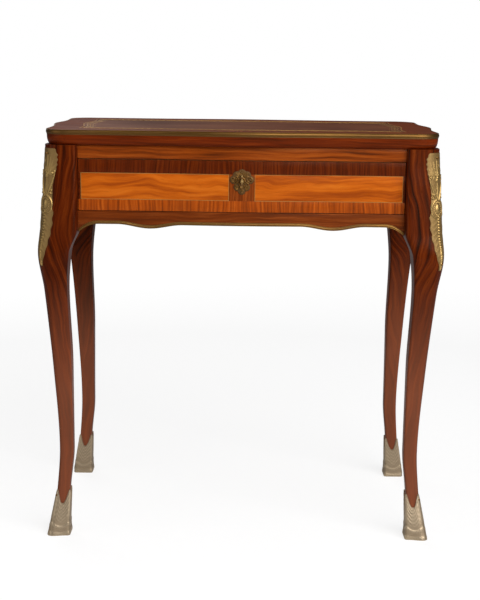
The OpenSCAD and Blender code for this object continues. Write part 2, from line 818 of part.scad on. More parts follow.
// Dovetails in the YZ plane, from a root line towards the tip, as thick as the sides
module tails(low, high, root, length, grow) {
    pitch = (high - low) / tail_count;
    narrow = pitch * 0.26;
    wide = pitch * 0.36;
    way = length < 0 ? -1 : 1;
    for (k = [0:tail_count - 1])
        translate([box_inner_x - grow, 0, low + pitch * (k + 0.5)])
            rotate([90, 0, 90])
                linear_extrude(height = side_thickness + 2 * grow)
                    polygon([
                        [root - way * 0.5, -narrow - grow], [root, -narrow - grow],
                        [root + length + way * grow, -wide - grow],
                        [root + length + way * grow, wide + grow],
                        [root, narrow + grow], [root - way * 0.5, narrow + grow]]);
}
module front_tails(grow) { tails(side_low + 2, side_top - 2, -front_back, -lap, grow); }
module back_tails(grow) {
    tails(back_low + 2, back_top - 2, box_end - side_thickness, side_thickness, grow);
}
module bottom_panel(grow) {
    translate([-box_inner_x - groove_depth - grow + play, -front_back - groove_depth - grow + play,
        bottom_low + 0.1 - grow])
        cube([2 * (box_inner_x + groove_depth + grow - play),
            box_length + groove_depth + grow - play, bottom_thickness - 0.2 + 2 * grow]);
}
module drawer_side() {
    color([0.68, 0.52, 0.33])
        difference() {
            union() {
                translate([box_inner_x, -front_back, side_low])
                    cube([side_thickness, box_length - side_thickness, side_height]);
                translate([box_inner_x, box_end - side_thickness - 1, side_low])
                    cube([side_thickness, side_thickness + 1, back_low - seat - side_low]);
                front_tails(0);
                back_tails(0);
            }
            bottom_panel(play);
        }
}
module drawer_side_left() { mirror([1, 0, 0]) drawer_side(); }
module drawer_side_right() { drawer_side(); }
bottom_screw_places = [-stile_x * 0.6, 0, stile_x * 0.6];
bottom_screw_length = 20;
small_screw_head = 3;
small_screw_radius = 1.5;
module all_bottom_screws(grow) {
    for (x = bottom_screw_places)
        translate([x, box_end - side_thickness / 2, bottom_low + fit_gap]) {
            cylinder(r1 = small_screw_head + grow, r2 = small_screw_radius + grow, h = 2);
            cylinder(r = small_screw_radius + grow, h = bottom_screw_length + grow);
            if (grow > 0)
                translate([0, 0, -2])
                    cylinder(r = small_screw_head + grow, h = 2.05);
        }
}
module bottom_screws() {
    color([0.5, 0.48, 0.45])
        all_bottom_screws(0);
}
module drawer_back() {
    color([0.68, 0.52, 0.33])
        difference() {
            translate([-drawer_side_x, box_end - side_thickness, back_low])
                cube([2 * drawer_side_x, side_thickness, back_top - back_low]);
            back_tails(play);
            mirror([1, 0, 0]) back_tails(play);
            translate([-drawer_side_x - 1, box_end - side_thickness - 1, back_low - 1])
                cube([side_thickness + 1, side_thickness + 2, 0.9]);
            all_bottom_screws(play);
        }
}
module drawer_bottom() {
    color([0.7, 0.55, 0.36])
        difference() {
            bottom_panel(0);
            all_bottom_screws(play);
        }
}
module drawer_front() {
    color([0.45, 0.2, 0.1])
        difference() {
            front_board(-front_reach, front_reach, face_y - drawer_veneer, front_back,
                side_low, front_top);
            front_tails(play);
            mirror([1, 0, 0]) front_tails(play);
            bottom_panel(play);
            lock_recess();
            keyhole(key_play);
            plate_pin_shanks(screw_play);
            lock_screw_set(screw_play);
        }
}
// Veneer of the drawer front: a frame, a strip at the middle, and two bright panels
module panel_window(right, grow) {
    start = right ? centre_strip / 2 : -front_reach + panel_end_margin;
    length = front_reach - panel_end_margin - centre_strip / 2;
    translate([start - grow, -face_y - cutter_reach, panel_bottom - grow])
        cube([length + 2 * grow, 2 * cutter_reach, panel_height + 2 * grow]);
}
module drawer_veneer_sheet(low, high) {
    front_board(-front_reach, front_reach, face_y, face_y - drawer_veneer, low, high,
        flat = false);
}
module drawer_veneer_frame() {
    color([0.42, 0.18, 0.09])
        difference() {
            drawer_veneer_sheet(side_low, front_top);
            panel_window(false, 0);
            panel_window(true, 0);
            keyhole(key_play);
            plate_pin_shanks(screw_play);
        }
}
module drawer_panel(right) {
    color([0.78, 0.42, 0.14])
        difference() {
            intersection() {
                drawer_veneer_sheet(panel_bottom + glue_line, panel_top - glue_line);
                panel_window(right, -glue_line);
            }
            plate_pin_shanks(screw_play);
        }
}
module drawer_panel_left() { drawer_panel(false); }
module drawer_panel_right() { drawer_panel(true); }

// Lock
key_z = opening_top - keyhole_drop;
lock_proud = 1.5;
lock_inner_y = -front_back + lock_proud;
lock_outer_y = lock_inner_y - lock_thickness;
lock_wall = 1.8;
lock_top = front_top - seat;
lock_low = lock_top - lock_height;
lock_flange = 8;
bolt_y = lock_inner_y - lock_thickness / 2;
bolt_low = key_z + bit_reach + 2.5;
bolt_foot = 5;
plate_back = face_y + frieze_bow + seat;
key_play = 0.6;
screw_play = 0.1;
module lock_recess() {
    translate([-lock_width / 2 - seat, lock_outer_y - seat, lock_low - seat])
        cube([lock_width + 2 * seat, lock_thickness + 5, lock_height + 5]);
}
bit_width = 2;
keyhole_lead = 10;
keyhole_length = keyhole_lead + plate_back + lock_outer_y + lock_wall + 1;
module keyhole(grow) {
    slot = bit_width + 0.4 + grow;
    translate([0, -plate_back - keyhole_lead, key_z])
        rotate([-90, 0, 0]) {
            cylinder(r = shank_radius + grow, h = keyhole_length);
            translate([-slot / 2, 0, 0])
                cube([slot, bit_reach + grow, keyhole_length]);
        }
}
lock_screw_x = lock_width / 2 - lock_flange / 2;
lock_screw_heights = [lock_low + 7, lock_top - 12];
lock_screw_places = [for (x = [-lock_screw_x, lock_screw_x], z = lock_screw_heights) [x, z]];
module lock_screw_set(grow) {
    for (place = lock_screw_places)
        translate([place[0], lock_inner_y, place[1]])
            rotate([90, 0, 0]) {
                cylinder(r1 = small_screw_head + grow, r2 = small_screw_radius + grow, h = 1.6);
                cylinder(r = small_screw_radius + grow, h = lock_thickness + 7 + grow);
            }
}
module lock_screws() {
    color([0.55, 0.53, 0.5])
        lock_screw_set(0);
}
module lock_case() {
    cavity = [lock_width - 2 * lock_flange, lock_thickness - 2 * lock_wall, lock_height - 2 * lock_wall];
    color([0.6, 0.5, 0.3])
        difference() {
            translate([-lock_width / 2, lock_outer_y, lock_low])
                cube([lock_width, lock_thickness, lock_height]);
            translate([-cavity[0] / 2, lock_outer_y + lock_wall, lock_low + lock_wall])
                cube(cavity);
            translate([-bolt_width / 2 - fit_gap, bolt_y - bolt_thickness / 2 - fit_gap,
                    lock_top - lock_wall - 1])
                cube([bolt_width + 2 * fit_gap, bolt_thickness + 2 * fit_gap, lock_wall + 2]);
            keyhole(key_play);
            lock_screw_set(screw_play);
        }
}
bolt_ear = 5;
bolt_drop = 0.4;
module bolt() {
    color([0.6, 0.6, 0.6])
        translate([0, bolt_y - bolt_thickness / 2, bolt_low])
            union() {
                translate([-bolt_width / 2, 0, 0])
                    cube([bolt_width, bolt_thickness, lock_top - bolt_drop - bolt_low]);
                translate([-bolt_width / 2 - bolt_ear, 0, 0])
                    cube([bolt_width + 2 * bolt_ear, bolt_thickness, bolt_foot]);
            }
}
// Keyhole plate: a cartouche of lobes round the keyhole
lobe = plate_width * 0.17;
plate_lobes = [
    [0, 0, plate_width * 0.31], [0, plate_width * 0.3, lobe * 1.1],
    [plate_width * 0.33, plate_width * 0.06, lobe], [-plate_width * 0.33, plate_width * 0.06, lobe],
    [plate_width * 0.2, plate_width * 0.24, lobe], [-plate_width * 0.2, plate_width * 0.24, lobe],
    [plate_width * 0.17, -plate_width * 0.24, lobe], [-plate_width * 0.17, -plate_width * 0.24, lobe],
    [0, -plate_width * 0.4, lobe * 0.9]];
plate_pin_places = [[plate_width * 0.36, plate_width * 0.06], [-plate_width * 0.36, plate_width * 0.06],
    [0, plate_width * 0.37], [0, -plate_width * 0.44]];
plate_pin_radius = 0.9;
plate_pin_length = 9;
module plate_pin_shanks(grow) {
    for (place = plate_pin_places)
        translate([place[0], -plate_back - plate_thickness - 0.1, key_z + place[1]])
            rotate([-90, 0, 0])
                cylinder(r = plate_pin_radius + grow, h = plate_pin_length + grow);
}
module keyhole_plate() {
    color([0.62, 0.48, 0.24])
        difference() {
            translate([0, -plate_back, key_z])
                rotate([90, 0, 0])
                    linear_extrude(height = plate_thickness)
                        for (place = plate_lobes)
                            translate([place[0], place[1]])
                                circle(r = place[2]);
            keyhole(key_play);
            plate_pin_shanks(screw_play);
        }
}
module plate_pins() {
    color([0.8, 0.63, 0.33])
        union() {
            plate_pin_shanks(0);
            for (place = plate_pin_places)
                translate([place[0], -plate_back - plate_thickness - 0.05, key_z + place[1]])
                    rotate([90, 0, 0])
                        cylinder(r1 = plate_pin_radius + 0.8, r2 = plate_pin_radius + 0.1, h = 0.9);
        }
}
// Key: bit down at rest, its bow in front of the plate
bow_wire = 1.6;
collar_rim = 1.2;
collar_length = 3;
bow_start = plate_back + plate_thickness + 4;
module bow_ring(out, up, radius, wire) {
    translate([0, -bow_start - out, key_z + up])
        rotate([0, 90, 0])
            rotate_extrude()
                translate([radius, 0])
                    circle(r = wire);
}
module key() {
    end = bolt_y + bolt_thickness / 2 + 0.8;
    color([0.66, 0.52, 0.28])
        union() {
            translate([0, end, key_z])
                rotate([90, 0, 0])
                    cylinder(r = shank_radius, h = end + bow_start + 1);
            translate([0, -bow_start + collar_length, key_z])
                rotate([90, 0, 0])
                    cylinder(r = shank_radius + collar_rim, h = collar_length);
            translate([-bit_width / 2, bolt_y - bolt_thickness / 2, key_z - bit_reach])
                cube([bit_width, bolt_thickness, bit_reach]);
            bow_ring(bow_radius + 0.8, 0, bow_radius, bow_wire);
            bow_ring(bow_radius * 0.5, bow_radius * 1.4, bow_radius * 0.5, bow_wire * 0.8);
            bow_ring(bow_radius * 0.5, -bow_radius * 1.4, bow_radius * 0.5, bow_wire * 0.8);
        }
}

top_board();
top_band();
top_border();
leather_skiver();
leg_front_left();
leg_front_right();
leg_rear_left();
leg_rear_right();
top_rail();
apron_rail();
side_rail_left();
side_rail_right();
back_rail();
side_veneer_left();
side_veneer_right();
back_veneer();
side_panel_left();
side_panel_right();
back_panel();
edging_front();
edging_left();
edging_right();
edging_back();
runner_left();
runner_right();
guide_left();
guide_right();
kicker_left();
kicker_right();
drawer_stops();
top_screws();
knee_mount_front_left();
knee_mount_front_right();
knee_mount_rear_left();
knee_mount_rear_right();
shoe_front_left();
shoe_front_right();
shoe_rear_left();
shoe_rear_right();
mount_pins();
drawer_front();
drawer_veneer_frame();
drawer_panel_left();
drawer_panel_right();
drawer_side_left();
drawer_side_right();
drawer_back();
drawer_bottom();
bottom_screws();
lock_case();
lock_screws();
keyhole_plate();
plate_pins();
bolt();
key();
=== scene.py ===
"""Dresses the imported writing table: veneers, leather, gilt mounts, a studio floor, lights and a camera.

Every length is in metres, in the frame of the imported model: +X is the table's right, -Y its front, +Z is up.
"""
import json
import logging
import math
from dataclasses import dataclass, field
from enum import Enum
from functools import cached_property
from typing import Callable, ClassVar

import bmesh
import bpy
import numpy as np
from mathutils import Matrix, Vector

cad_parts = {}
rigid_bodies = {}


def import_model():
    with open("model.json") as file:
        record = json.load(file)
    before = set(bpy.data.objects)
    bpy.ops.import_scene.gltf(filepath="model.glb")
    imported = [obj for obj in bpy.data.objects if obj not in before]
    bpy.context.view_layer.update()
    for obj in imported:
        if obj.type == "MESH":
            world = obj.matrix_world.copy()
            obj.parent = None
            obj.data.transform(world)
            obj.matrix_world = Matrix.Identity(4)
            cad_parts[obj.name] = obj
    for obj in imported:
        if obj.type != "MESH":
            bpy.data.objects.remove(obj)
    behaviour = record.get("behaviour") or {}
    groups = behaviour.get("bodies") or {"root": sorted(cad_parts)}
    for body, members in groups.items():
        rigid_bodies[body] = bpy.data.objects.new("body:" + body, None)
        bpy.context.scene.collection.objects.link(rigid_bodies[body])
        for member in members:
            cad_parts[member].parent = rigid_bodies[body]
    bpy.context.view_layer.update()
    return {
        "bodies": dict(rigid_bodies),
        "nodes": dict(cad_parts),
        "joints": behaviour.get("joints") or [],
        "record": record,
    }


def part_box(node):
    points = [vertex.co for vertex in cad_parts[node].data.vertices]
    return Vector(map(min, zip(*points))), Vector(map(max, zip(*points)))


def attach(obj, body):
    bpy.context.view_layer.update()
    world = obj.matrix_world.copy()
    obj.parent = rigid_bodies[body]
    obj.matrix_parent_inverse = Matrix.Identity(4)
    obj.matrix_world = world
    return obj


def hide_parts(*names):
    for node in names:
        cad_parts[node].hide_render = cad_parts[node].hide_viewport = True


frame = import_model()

LOG = logging.getLogger("writing_table")
MM = 0.001
# Half of the seam between two strips of veneer, and how far a strip stands off the wood below it
SEAM = 0.00005
LIFT = 0.00002
# The rounding of a strip's edges, and of the edges of a rail or an apron
STRIP_ROUNDING = 0.00025
RAIL_ROUNDING = 0.0008
# Above this angle in degrees an edge of a casting is sharp
CASTING_CREASE = 60.0


class Side(Enum):
    """The four sides of the table, each with its turn about +Z from the front."""

    FRONT = 0
    RIGHT = 90
    BACK = 180
    LEFT = 270

    def place(self, points: np.ndarray) -> np.ndarray:
        """Turns points drawn for the front (along X, out towards -Y) to this side.

        Args:
            points: the points, n by 3.

        Returns:
            The points at this side.
        """
        a = math.radians(self.value)
        turn = np.array([[math.cos(a), math.sin(a), 0], [-math.sin(a), math.cos(a), 0], [0, 0, 1]])
        return points @ turn

    @property
    def is_long(self) -> bool:
        """Whether this side is the table's width rather than its depth."""
        return self in (Side.FRONT, Side.BACK)


class Corner(Enum):
    """The four legs, by the signs of their X and Y."""

    FRONT_LEFT = (-1, -1)
    FRONT_RIGHT = (1, -1)
    REAR_LEFT = (-1, 1)
    REAR_RIGHT = (1, 1)

    def place(self, points: np.ndarray) -> np.ndarray:
        """Mirrors points modelled at +X +Y to this corner."""
        return points * np.array([self.value[0], self.value[1], 1.0])


@dataclass(frozen=True)
class Rows:
    """A smooth curve through rows of (position, value, ...), which never overshoots a row."""

    rows: tuple

    @cached_property
    def slopes(self) -> list:
        """For each column, its positions, its values and its slopes at the rows.

        Returns:
            One (positions, values, slopes) for each column.
        """
        table = np.array(self.rows, float)
        x = table[:, 0]
        found = []
        for y in table.T:
            step = np.diff(y) / np.diff(x)
            slope = np.zeros(len(x))
            before, after = step[:-1], step[1:]
            same = before * after > 0
            slope[1:-1][same] = 2 * before[same] * after[same] / (before[same] + after[same])
            found.append((x, y, slope))
        return found

    def at(self, position: np.ndarray | float, column: int = 1) -> np.ndarray:
        """The curve's value.

        Args:
            position: where along the first column to read it.
            column: which value to read.

        Returns:
            The value, as an array of the position's shape.
        """
        x, y, slope = self.slopes[column]
        at = np.clip(np.asarray(position, float), x[0], x[-1])
        i = np.clip(np.searchsorted(x, at, side="right") - 1, 0, len(x) - 2)
        span = x[i + 1] - x[i]
        t = (at - x[i]) / span
        ease = t * t * (3 - 2 * t)
        bend = t * (1 - t) * ((1 - t) * slope[i] - t * slope[i + 1])
        return y[i] * (1 - ease) + y[i + 1] * ease + span * bend


@dataclass(frozen=True)
class TableSizes:
    """The table's driving sizes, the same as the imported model's, and what follows from them."""

    half_width: float = 0.354
    half_depth: float = 0.211
    corner_radius: float = 0.042
    top_thickness: float = 0.027
    top_bow: float = 0.008
    top_hollow: float = 0.003
    band_height: float = 0.009
    band_thickness: float = 0.003
    veneer: float = 0.0012
    border_width: float = 0.058
    frieze_inset: float = 0.012
    frieze_bow: float = 0.004
    frieze_hollow: float = 0.002
    top_rail_height: float = 0.024
    top_rail_depth: float = 0.049
    opening_height: float = 0.094
    apron_height: float = 0.024
    apron_thickness: float = 0.036
    drop_depth: float = 0.007
    rise_height: float = 0.0005
    ear_depth: float = 0.015
    panel_height: float = 0.046
    panel_margin: float = 0.026
    panel_end_margin: float = 0.004
    panel_inset: float = 0.014
    centre_strip: float = 0.046
    stile_inset: float = 0.060
    drawer_gap: float = 0.001
    drawer_veneer: float = 0.001
    keyhole_drop: float = 0.037
    seat: float = 0.0002

    @cached_property
    def height(self) -> float:
        """Height of the writing surface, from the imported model."""
        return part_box("top_band")[1].z

    @property
    def frame_top(self) -> float:
        """Upper end of the legs and rails."""
        return self.height - self.top_thickness

    @property
    def opening_top(self) -> float:
        """Upper edge of the drawer opening."""
        return self.frame_top - self.top_rail_height

    @property
    def opening_bottom(self) -> float:
        """Lower edge of the drawer opening."""
        return self.opening_top - self.opening_height

    @property
    def apron_bottom(self) -> float:
        """Lower edge of the aprons at their middle."""
        return self.opening_bottom - self.apron_height

    @property
    def panel_top(self) -> float:
        """Upper edge of the bright panels."""
        return self.opening_top - self.panel_margin

    @property
    def panel_bottom(self) -> float:
        """Lower edge of the bright panels."""
        return self.panel_top - self.panel_height

    def reach(self, side: Side) -> float:
        """Half of the straight run between the corner arcs on a side of the top."""
        return (self.half_width if side.is_long else self.half_depth) - self.corner_radius

    def out(self, side: Side, inset: float) -> float:
        """Distance of a face from the table's middle, given its inset from the top's edge."""
        return (self.half_depth if side.is_long else self.half_width) - inset

    def stile(self, side: Side) -> float:
        """Distance of the legs' inner faces from the middle of a side."""
        return (self.half_width if side.is_long else self.half_depth) - self.stile_inset

    def top_swell(self, place: np.ndarray, side: Side) -> np.ndarray:
        """How far the top's edge swells out at a place along a side."""
        return swell(place, self.reach(side), self.top_bow, self.top_hollow)

    def frieze_swell(self, place: np.ndarray, side: Side) -> np.ndarray:
        """How far the frieze swells out at a place along a side."""
        return swell(place, self.reach(side), self.frieze_bow, self.frieze_hollow)

    def apron_edge(self, place: np.ndarray, side: Side) -> np.ndarray:
        """Height of an apron's lower edge at a place along a side.

        Args:
            place: distances from the side's middle.
            side: the side.

        Returns:
            The height at each place.
        """
        u = np.abs(place) / self.stile(side)
        bump = np.cos(np.pi / 2 * np.clip((u - 0.56) / 0.2, -1, 1)) ** 2
        return (self.apron_bottom - self.drop_depth * bump
                + self.rise_height * ramp((u - 0.62) / 0.16)
                - (self.rise_height + self.ear_depth) * (ramp((u - 0.86) / 0.28) * 2) ** 1.5)


def ramp(u: np.ndarray) -> np.ndarray:
    """A smooth step from 0 at u = 0 to 1 at u = 1."""
    u = np.clip(u, 0, 1)
    return u * u * (3 - 2 * u)


def swell(place: np.ndarray, reach: float, bow: float, hollow: float) -> np.ndarray:
    """How far a serpentine edge swells out: out in the middle, in at the quarter points."""
    u = np.clip(np.asarray(place, float) / reach, -1, 1)
    return bow * np.cos(np.pi / 2 * u) ** 4 - hollow * np.sin(np.pi * u) ** 2


SIZES = TableSizes()


# Meshes

def sharpen(work: bmesh.types.BMesh, crease: float) -> None:
    """Makes the edges of a mesh sharp above an angle.

    Args:
        work: the mesh.
        crease: the angle in degrees.
    """
    for edge in work.edges:
        if len(edge.link_faces) == 2 and edge.calc_face_angle(0.0) > math.radians(crease):
            edge.smooth = False


def new_object(name: str, verts: np.ndarray, faces: list, grain: np.ndarray | None = None,
               relief: np.ndarray | None = None, crease: float = 35.0) -> bpy.types.Object:
    """Makes a mesh object with smooth faces and sharp edges above an angle.

    Args:
        name: the piece's name.
        verts: its points, n by 3.
        faces: its faces, as lists of indices.
        grain: where each point lies in the wood, (along, across, through), in metres.
        relief: how high each point stands in a casting's relief, 0 to 1.
        crease: the angle in degrees above which an edge is sharp.

    Returns:
        The new object, linked to the scene.
    """
    mesh = bpy.data.meshes.new(name)
    mesh.from_pydata([tuple(map(float, v)) for v in verts], [], [list(map(int, f)) for f in faces])
    mesh.validate()
    if grain is not None:
        store = mesh.attributes.new("grain", "FLOAT_VECTOR", "POINT")
        store.data.foreach_set("vector", np.asarray(grain, np.float32).ravel())
    if relief is not None:
        store = mesh.attributes.new("relief", "FLOAT", "POINT")
        store.data.foreach_set("value", np.asarray(relief, np.float32).ravel())
    work = bmesh.new()
    work.from_mesh(mesh)
    bmesh.ops.recalc_face_normals(work, faces=work.faces)
    for face in work.faces:
        face.smooth = True
    sharpen(work, crease)
    work.to_mesh(mesh)
    work.free()
    obj = bpy.data.objects.new(name, mesh)
    bpy.context.scene.collection.objects.link(obj)
    return obj


@dataclass
class Patchwork:
    """Gathers grids of points into one mesh, with the grain or relief of each."""

    verts: list = field(default_factory=list)
    faces: list = field(default_factory=list)
    grain: list = field(default_factory=list)
    relief: list = field(default_factory=list)
    count: int = 0

    def add(self, points: np.ndarray, round_u: bool = False, round_v: bool = False, caps: bool = False,
            grain: np.ndarray | None = None, relief: np.ndarray | None = None) -> None:
        """Adds a grid of points.

        Args:
            points: rings of points, u by v by 3.
            round_u: whether the last ring joins the first.
            round_v: whether each ring is closed.
            caps: whether the first and last ring are closed with a face.
            grain: the wood's coordinates at each point, u by v by 3.
            relief: the casting's relief at each point, u by v.
        """
        nu, nv = points.shape[:2]
        start = self.count
        self.verts.append(points.reshape(-1, 3))
        self.grain.append((np.zeros_like(points) if grain is None else grain).reshape(-1, 3))
        self.relief.append((np.ones((nu, nv)) if relief is None else relief).reshape(-1))
        self.count += nu * nv
        for i in range(nu if round_u else nu - 1):
            for j in range(nv if round_v else nv - 1):
                a, b = start + i * nv, start + ((i + 1) % nu) * nv
                k = (j + 1) % nv
                self.faces.append([a + j, a + k, b + k, b + j])
        if caps:
            self.faces.append([start + j for j in range(nv)][::-1])
            self.faces.append([start + (nu - 1) * nv + j for j in range(nv)])

    def sweep(self, profile: list, is_closed: bool, relief: list | None = None) -> None:
        """Adds a profile swept round the top's outline, the grain along the sweep.

        Args:
            profile: the profile's points of (inset, height).
            is_closed: whether the profile's last point joins its first.
            relief: the casting's relief at each point of the profile.
        """
        rings = np.stack([np.concatenate([outline(inset), np.full((len(outline(inset)), 1), z)], 1)
                          for inset, z in profile], 1)
        zero = np.zeros(rings.shape[:2])
        along = passed_length(rings[:, 0, :])[:, None] + zero
        across = passed_length(np.array(profile))[None, :] + zero
        self.add(rings, round_u=True, round_v=is_closed, grain=np.stack([along, across, zero], 2),
                 relief=None if relief is None else np.array(relief) + zero)

    def cap(self, inset: float, z: float) -> None:
        """Adds a flat face with the top's outline.

        Args:
            inset: how far inside the top's edge it ends.
            z: its height.
        """
        points = outline(inset)
        count = len(points)
        verts = np.concatenate([points, np.full((count, 1), z)], 1)
        self.verts.append(verts)
        self.grain.append(verts)
        self.relief.append(np.ones(count))
        self.faces.append([self.count + k for k in range(count)])
        self.count += count

    def build(self, name: str, crease: float = 35.0) -> bpy.types.Object:
        """Makes the object.

        Args:
            name: the piece's name.
            crease: the angle in degrees above which an edge is sharp.

        Returns:
            The new object.
        """
        return new_object(name, np.concatenate(self.verts), self.faces, np.concatenate(self.grain),
                          np.concatenate(self.relief), crease)


def rounded_section(low: float, high: float, back: float, front: float, radius: float,
                    steps: int = 3) -> np.ndarray:
    """A rectangle with rounded corners, as points of (out, height), counted round.

    Args:
        low: its lower edge.
        high: its upper edge.
        back: its inner face's distance out.
        front: its outer face's distance out.
        radius: radius of its corners.
        steps: steps in each corner.

    Returns:
        The section's points, n by 2.
    """
    radius = min(radius, (high - low) / 2.1, (front - back) / 2.1)
    centres = [(front - radius, low + radius, -90), (front - radius, high - radius, 0),
               (back + radius, high - radius, 90), (back + radius, low + radius, 180)]
    points = []
    for x, z, start in centres:
        for k in range(steps + 1):
            a = math.radians(start + 90 * k / steps)
            points.append((x + radius * math.cos(a), z + radius * math.sin(a)))
    return np.array(points)


# Finishes

class Nodes:
    """Adds and joins nodes in one tree, with few words."""

    def __init__(self, tree: bpy.types.NodeTree) -> None:
        """Starts on an empty tree.

        Args:
            tree: the material's or group's node tree.
        """
        self.tree = tree
        tree.nodes.clear()

    def feed(self, socket: bpy.types.NodeSocket, value: object) -> None:
        """Gives an input its value, or joins an output to it.

        Args:
            socket: the input.
            value: the value or the output.
        """
        if isinstance(value, bpy.types.NodeSocket):
            self.tree.links.new(value, socket)
        else:
            socket.default_value = value

    def fill(self, node: bpy.types.Node, **values: object) -> bpy.types.Node:
        """Gives a node's attributes and inputs their values.

        Args:
            node: the node.
            values: values or outputs by attribute, or by input with underscores for spaces.

        Returns:
            The same node.
        """
        for name, value in values.items():
            if hasattr(node, name):
                setattr(node, name, value)
            else:
                self.feed(node.inputs[name.replace("_", " ")], value)
        return node

    def add(self, kind: str, **values: object) -> bpy.types.Node:
        """Adds a node of a type, filled with values."""
        return self.fill(self.tree.nodes.new(kind), **values)

    def apply(self, node: bpy.types.Node, places: tuple, values: tuple) -> bpy.types.Node:
        """Gives a node's inputs their values by place.

        Args:
            node: the node.
            places: the inputs' places in the node.
            values: a value or an output for each.

        Returns:
            The same node.
        """
        for place, value in zip(places, values):
            self.feed(node.inputs[place], value)
        return node

    def math(self, operation: str, a: object, b: object) -> bpy.types.NodeSocket:
        """An operation on two values or outputs, and its result."""
        return self.apply(self.add("ShaderNodeMath", operation=operation), (0, 1), (a, b)).outputs[0]

    def times(self, a: object, b: object) -> bpy.types.NodeSocket:
        """The product of two values or outputs."""
        return self.math("MULTIPLY", a, b)

    def mix(self, factor: object, a: object, b: object) -> bpy.types.NodeSocket:
        """A mix of two colours by a factor, and its result."""
        return self.apply(self.add("ShaderNodeMix", data_type="RGBA"), (0, 6, 7), (factor, a, b)).outputs[2]

    def blend(self, factor: object, a: object, b: object) -> bpy.types.NodeSocket:
        """A mix of two shaders by a factor, and its result."""
        return self.apply(self.add("ShaderNodeMixShader"), (0, 1, 2), (factor, a, b)).outputs[0]

    def ramp(self, factor: bpy.types.NodeSocket, stops: list) -> bpy.types.NodeSocket:
        """A colour ramp.

        Args:
            factor: where on the ramp to read it.
            stops: its stops, as (position, colour).

        Returns:
            The ramp's colour.
        """
        node = self.add("ShaderNodeValToRGB", Fac=factor)
        ramp_stops = node.color_ramp.elements
        while len(ramp_stops) < len(stops):
            ramp_stops.new(0.5)
        for stop, (position, colour) in zip(ramp_stops, stops):
            stop.position = position
            stop.color = colour
        return node.outputs[0]

    def span(self, value: bpy.types.NodeSocket, low: float, high: float, to_low: float = 0.0,
             to_high: float = 1.0) -> bpy.types.NodeSocket:
        """A value moved from the range low to high to another one, and kept inside it."""
        node = self.add("ShaderNodeMapRange")
        return self.apply(node, (0, 1, 2, 3, 4), (value, low, high, to_low, to_high)).outputs[0]

    def noise(self, place: bpy.types.NodeSocket, scale: float, detail: float) -> bpy.types.NodeSocket:
        """A layer of noise at a scale, and its value."""
        return self.add("ShaderNodeTexNoise", Vector=place, Scale=scale, Detail=detail).outputs["Fac"]

    def place(self) -> bpy.types.NodeSocket:
        """The position on the object, in metres."""
        return self.add("ShaderNodeTexCoord").outputs["Object"]

    def emboss(self, shader: bpy.types.Node, height: bpy.types.NodeSocket, strength: float,
               distance: float, invert: bool = False) -> None:
        """Feeds a height to a shader's normal, through a bump."""
        bump = self.add("ShaderNodeBump", Strength=strength, Distance=distance, invert=invert, Height=height)
        self.fill(shader, Normal=bump.outputs[0])


def rgba(colour: tuple, share: float = 1.0) -> tuple:
    """A colour with its alpha, made darker or brighter by a share."""
    return (*(share * c for c in colour), 1.0)


def effect_group(name: str, inputs: dict, outputs: tuple, build: Callable) -> bpy.types.NodeTree:
    """Makes a shared effect as a shader node group, once.

    Args:
        name: the group's name.
        inputs: input names with their default values; a vector input has None.
        outputs: output names.
        build: draws the group, given its Nodes, its input node and its output node.

    Returns:
        The group's tree.
    """
    if name in bpy.data.node_groups:
        return bpy.data.node_groups[name]
    tree = bpy.data.node_groups.new(name, "ShaderNodeTree")
    for label, value in inputs.items():
        kind = "NodeSocketVector" if value is None else "NodeSocketFloat"
        socket = tree.interface.new_socket(label, in_out="INPUT", socket_type=kind)
        if value is not None:
            socket.default_value = value
    for label in outputs:
        tree.interface.new_socket(label, in_out="OUTPUT", socket_type="NodeSocketFloat")
    nodes = Nodes(tree)
    build(nodes, nodes.add("NodeGroupInput"), nodes.add("NodeGroupOutput"))
    return tree


def draw_figure(nodes: Nodes, entry: bpy.types.Node, leave: bpy.types.Node) -> None:
    """Draws stripes, tone and pores from the wood's own coordinates.

    Args:
        nodes: the group's nodes.
        entry: its input node.
        leave: its output node.
    """
    x, y, z = nodes.add("ShaderNodeSeparateXYZ", Vector=entry.outputs["Grain"]).outputs
    stretched = nodes.add("ShaderNodeCombineXYZ", X=nodes.times(x, 9.0), Y=nodes.times(y, 16.0), Z=z)
    drift = nodes.noise(stretched.outputs[0], 1.0, 2.0)
    wander = nodes.times(nodes.math("SUBTRACT", drift, 0.5), entry.outputs["Waviness"])
    across = nodes.times(nodes.math("ADD", y, wander), entry.outputs["Lines"])

    def strand(along: float, lines: float, detail: float, low: float, high: float) -> bpy.types.NodeSocket:
        """Noise drawn out along the grain.

        Args:
            along: its scale along the grain.
            lines: its scale across it, beside the figure's lines.
            detail: its detail.
            low: the noise that counts as none.
            high: the noise that counts as full.

        Returns:
            Its value, 0 to 1.
        """
        spot = nodes.add("ShaderNodeCombineXYZ", X=nodes.times(x, along), Y=nodes.times(across, lines), Z=z)
        noise = nodes.add("ShaderNodeTexNoise", Vector=spot.outputs[0], Scale=1.0, Detail=detail,
                          Roughness=0.55)
        return nodes.span(noise.outputs["Fac"], low, high)

    nodes.fill(leave, Figure=strand(7.0, 1.0, 5.0, 0.3, 0.7), Tone=strand(3.0, 0.16, 2.0, 0.3, 0.7),
               Pores=strand(60.0, 7.0, 2.0, 0.6, 0.72))


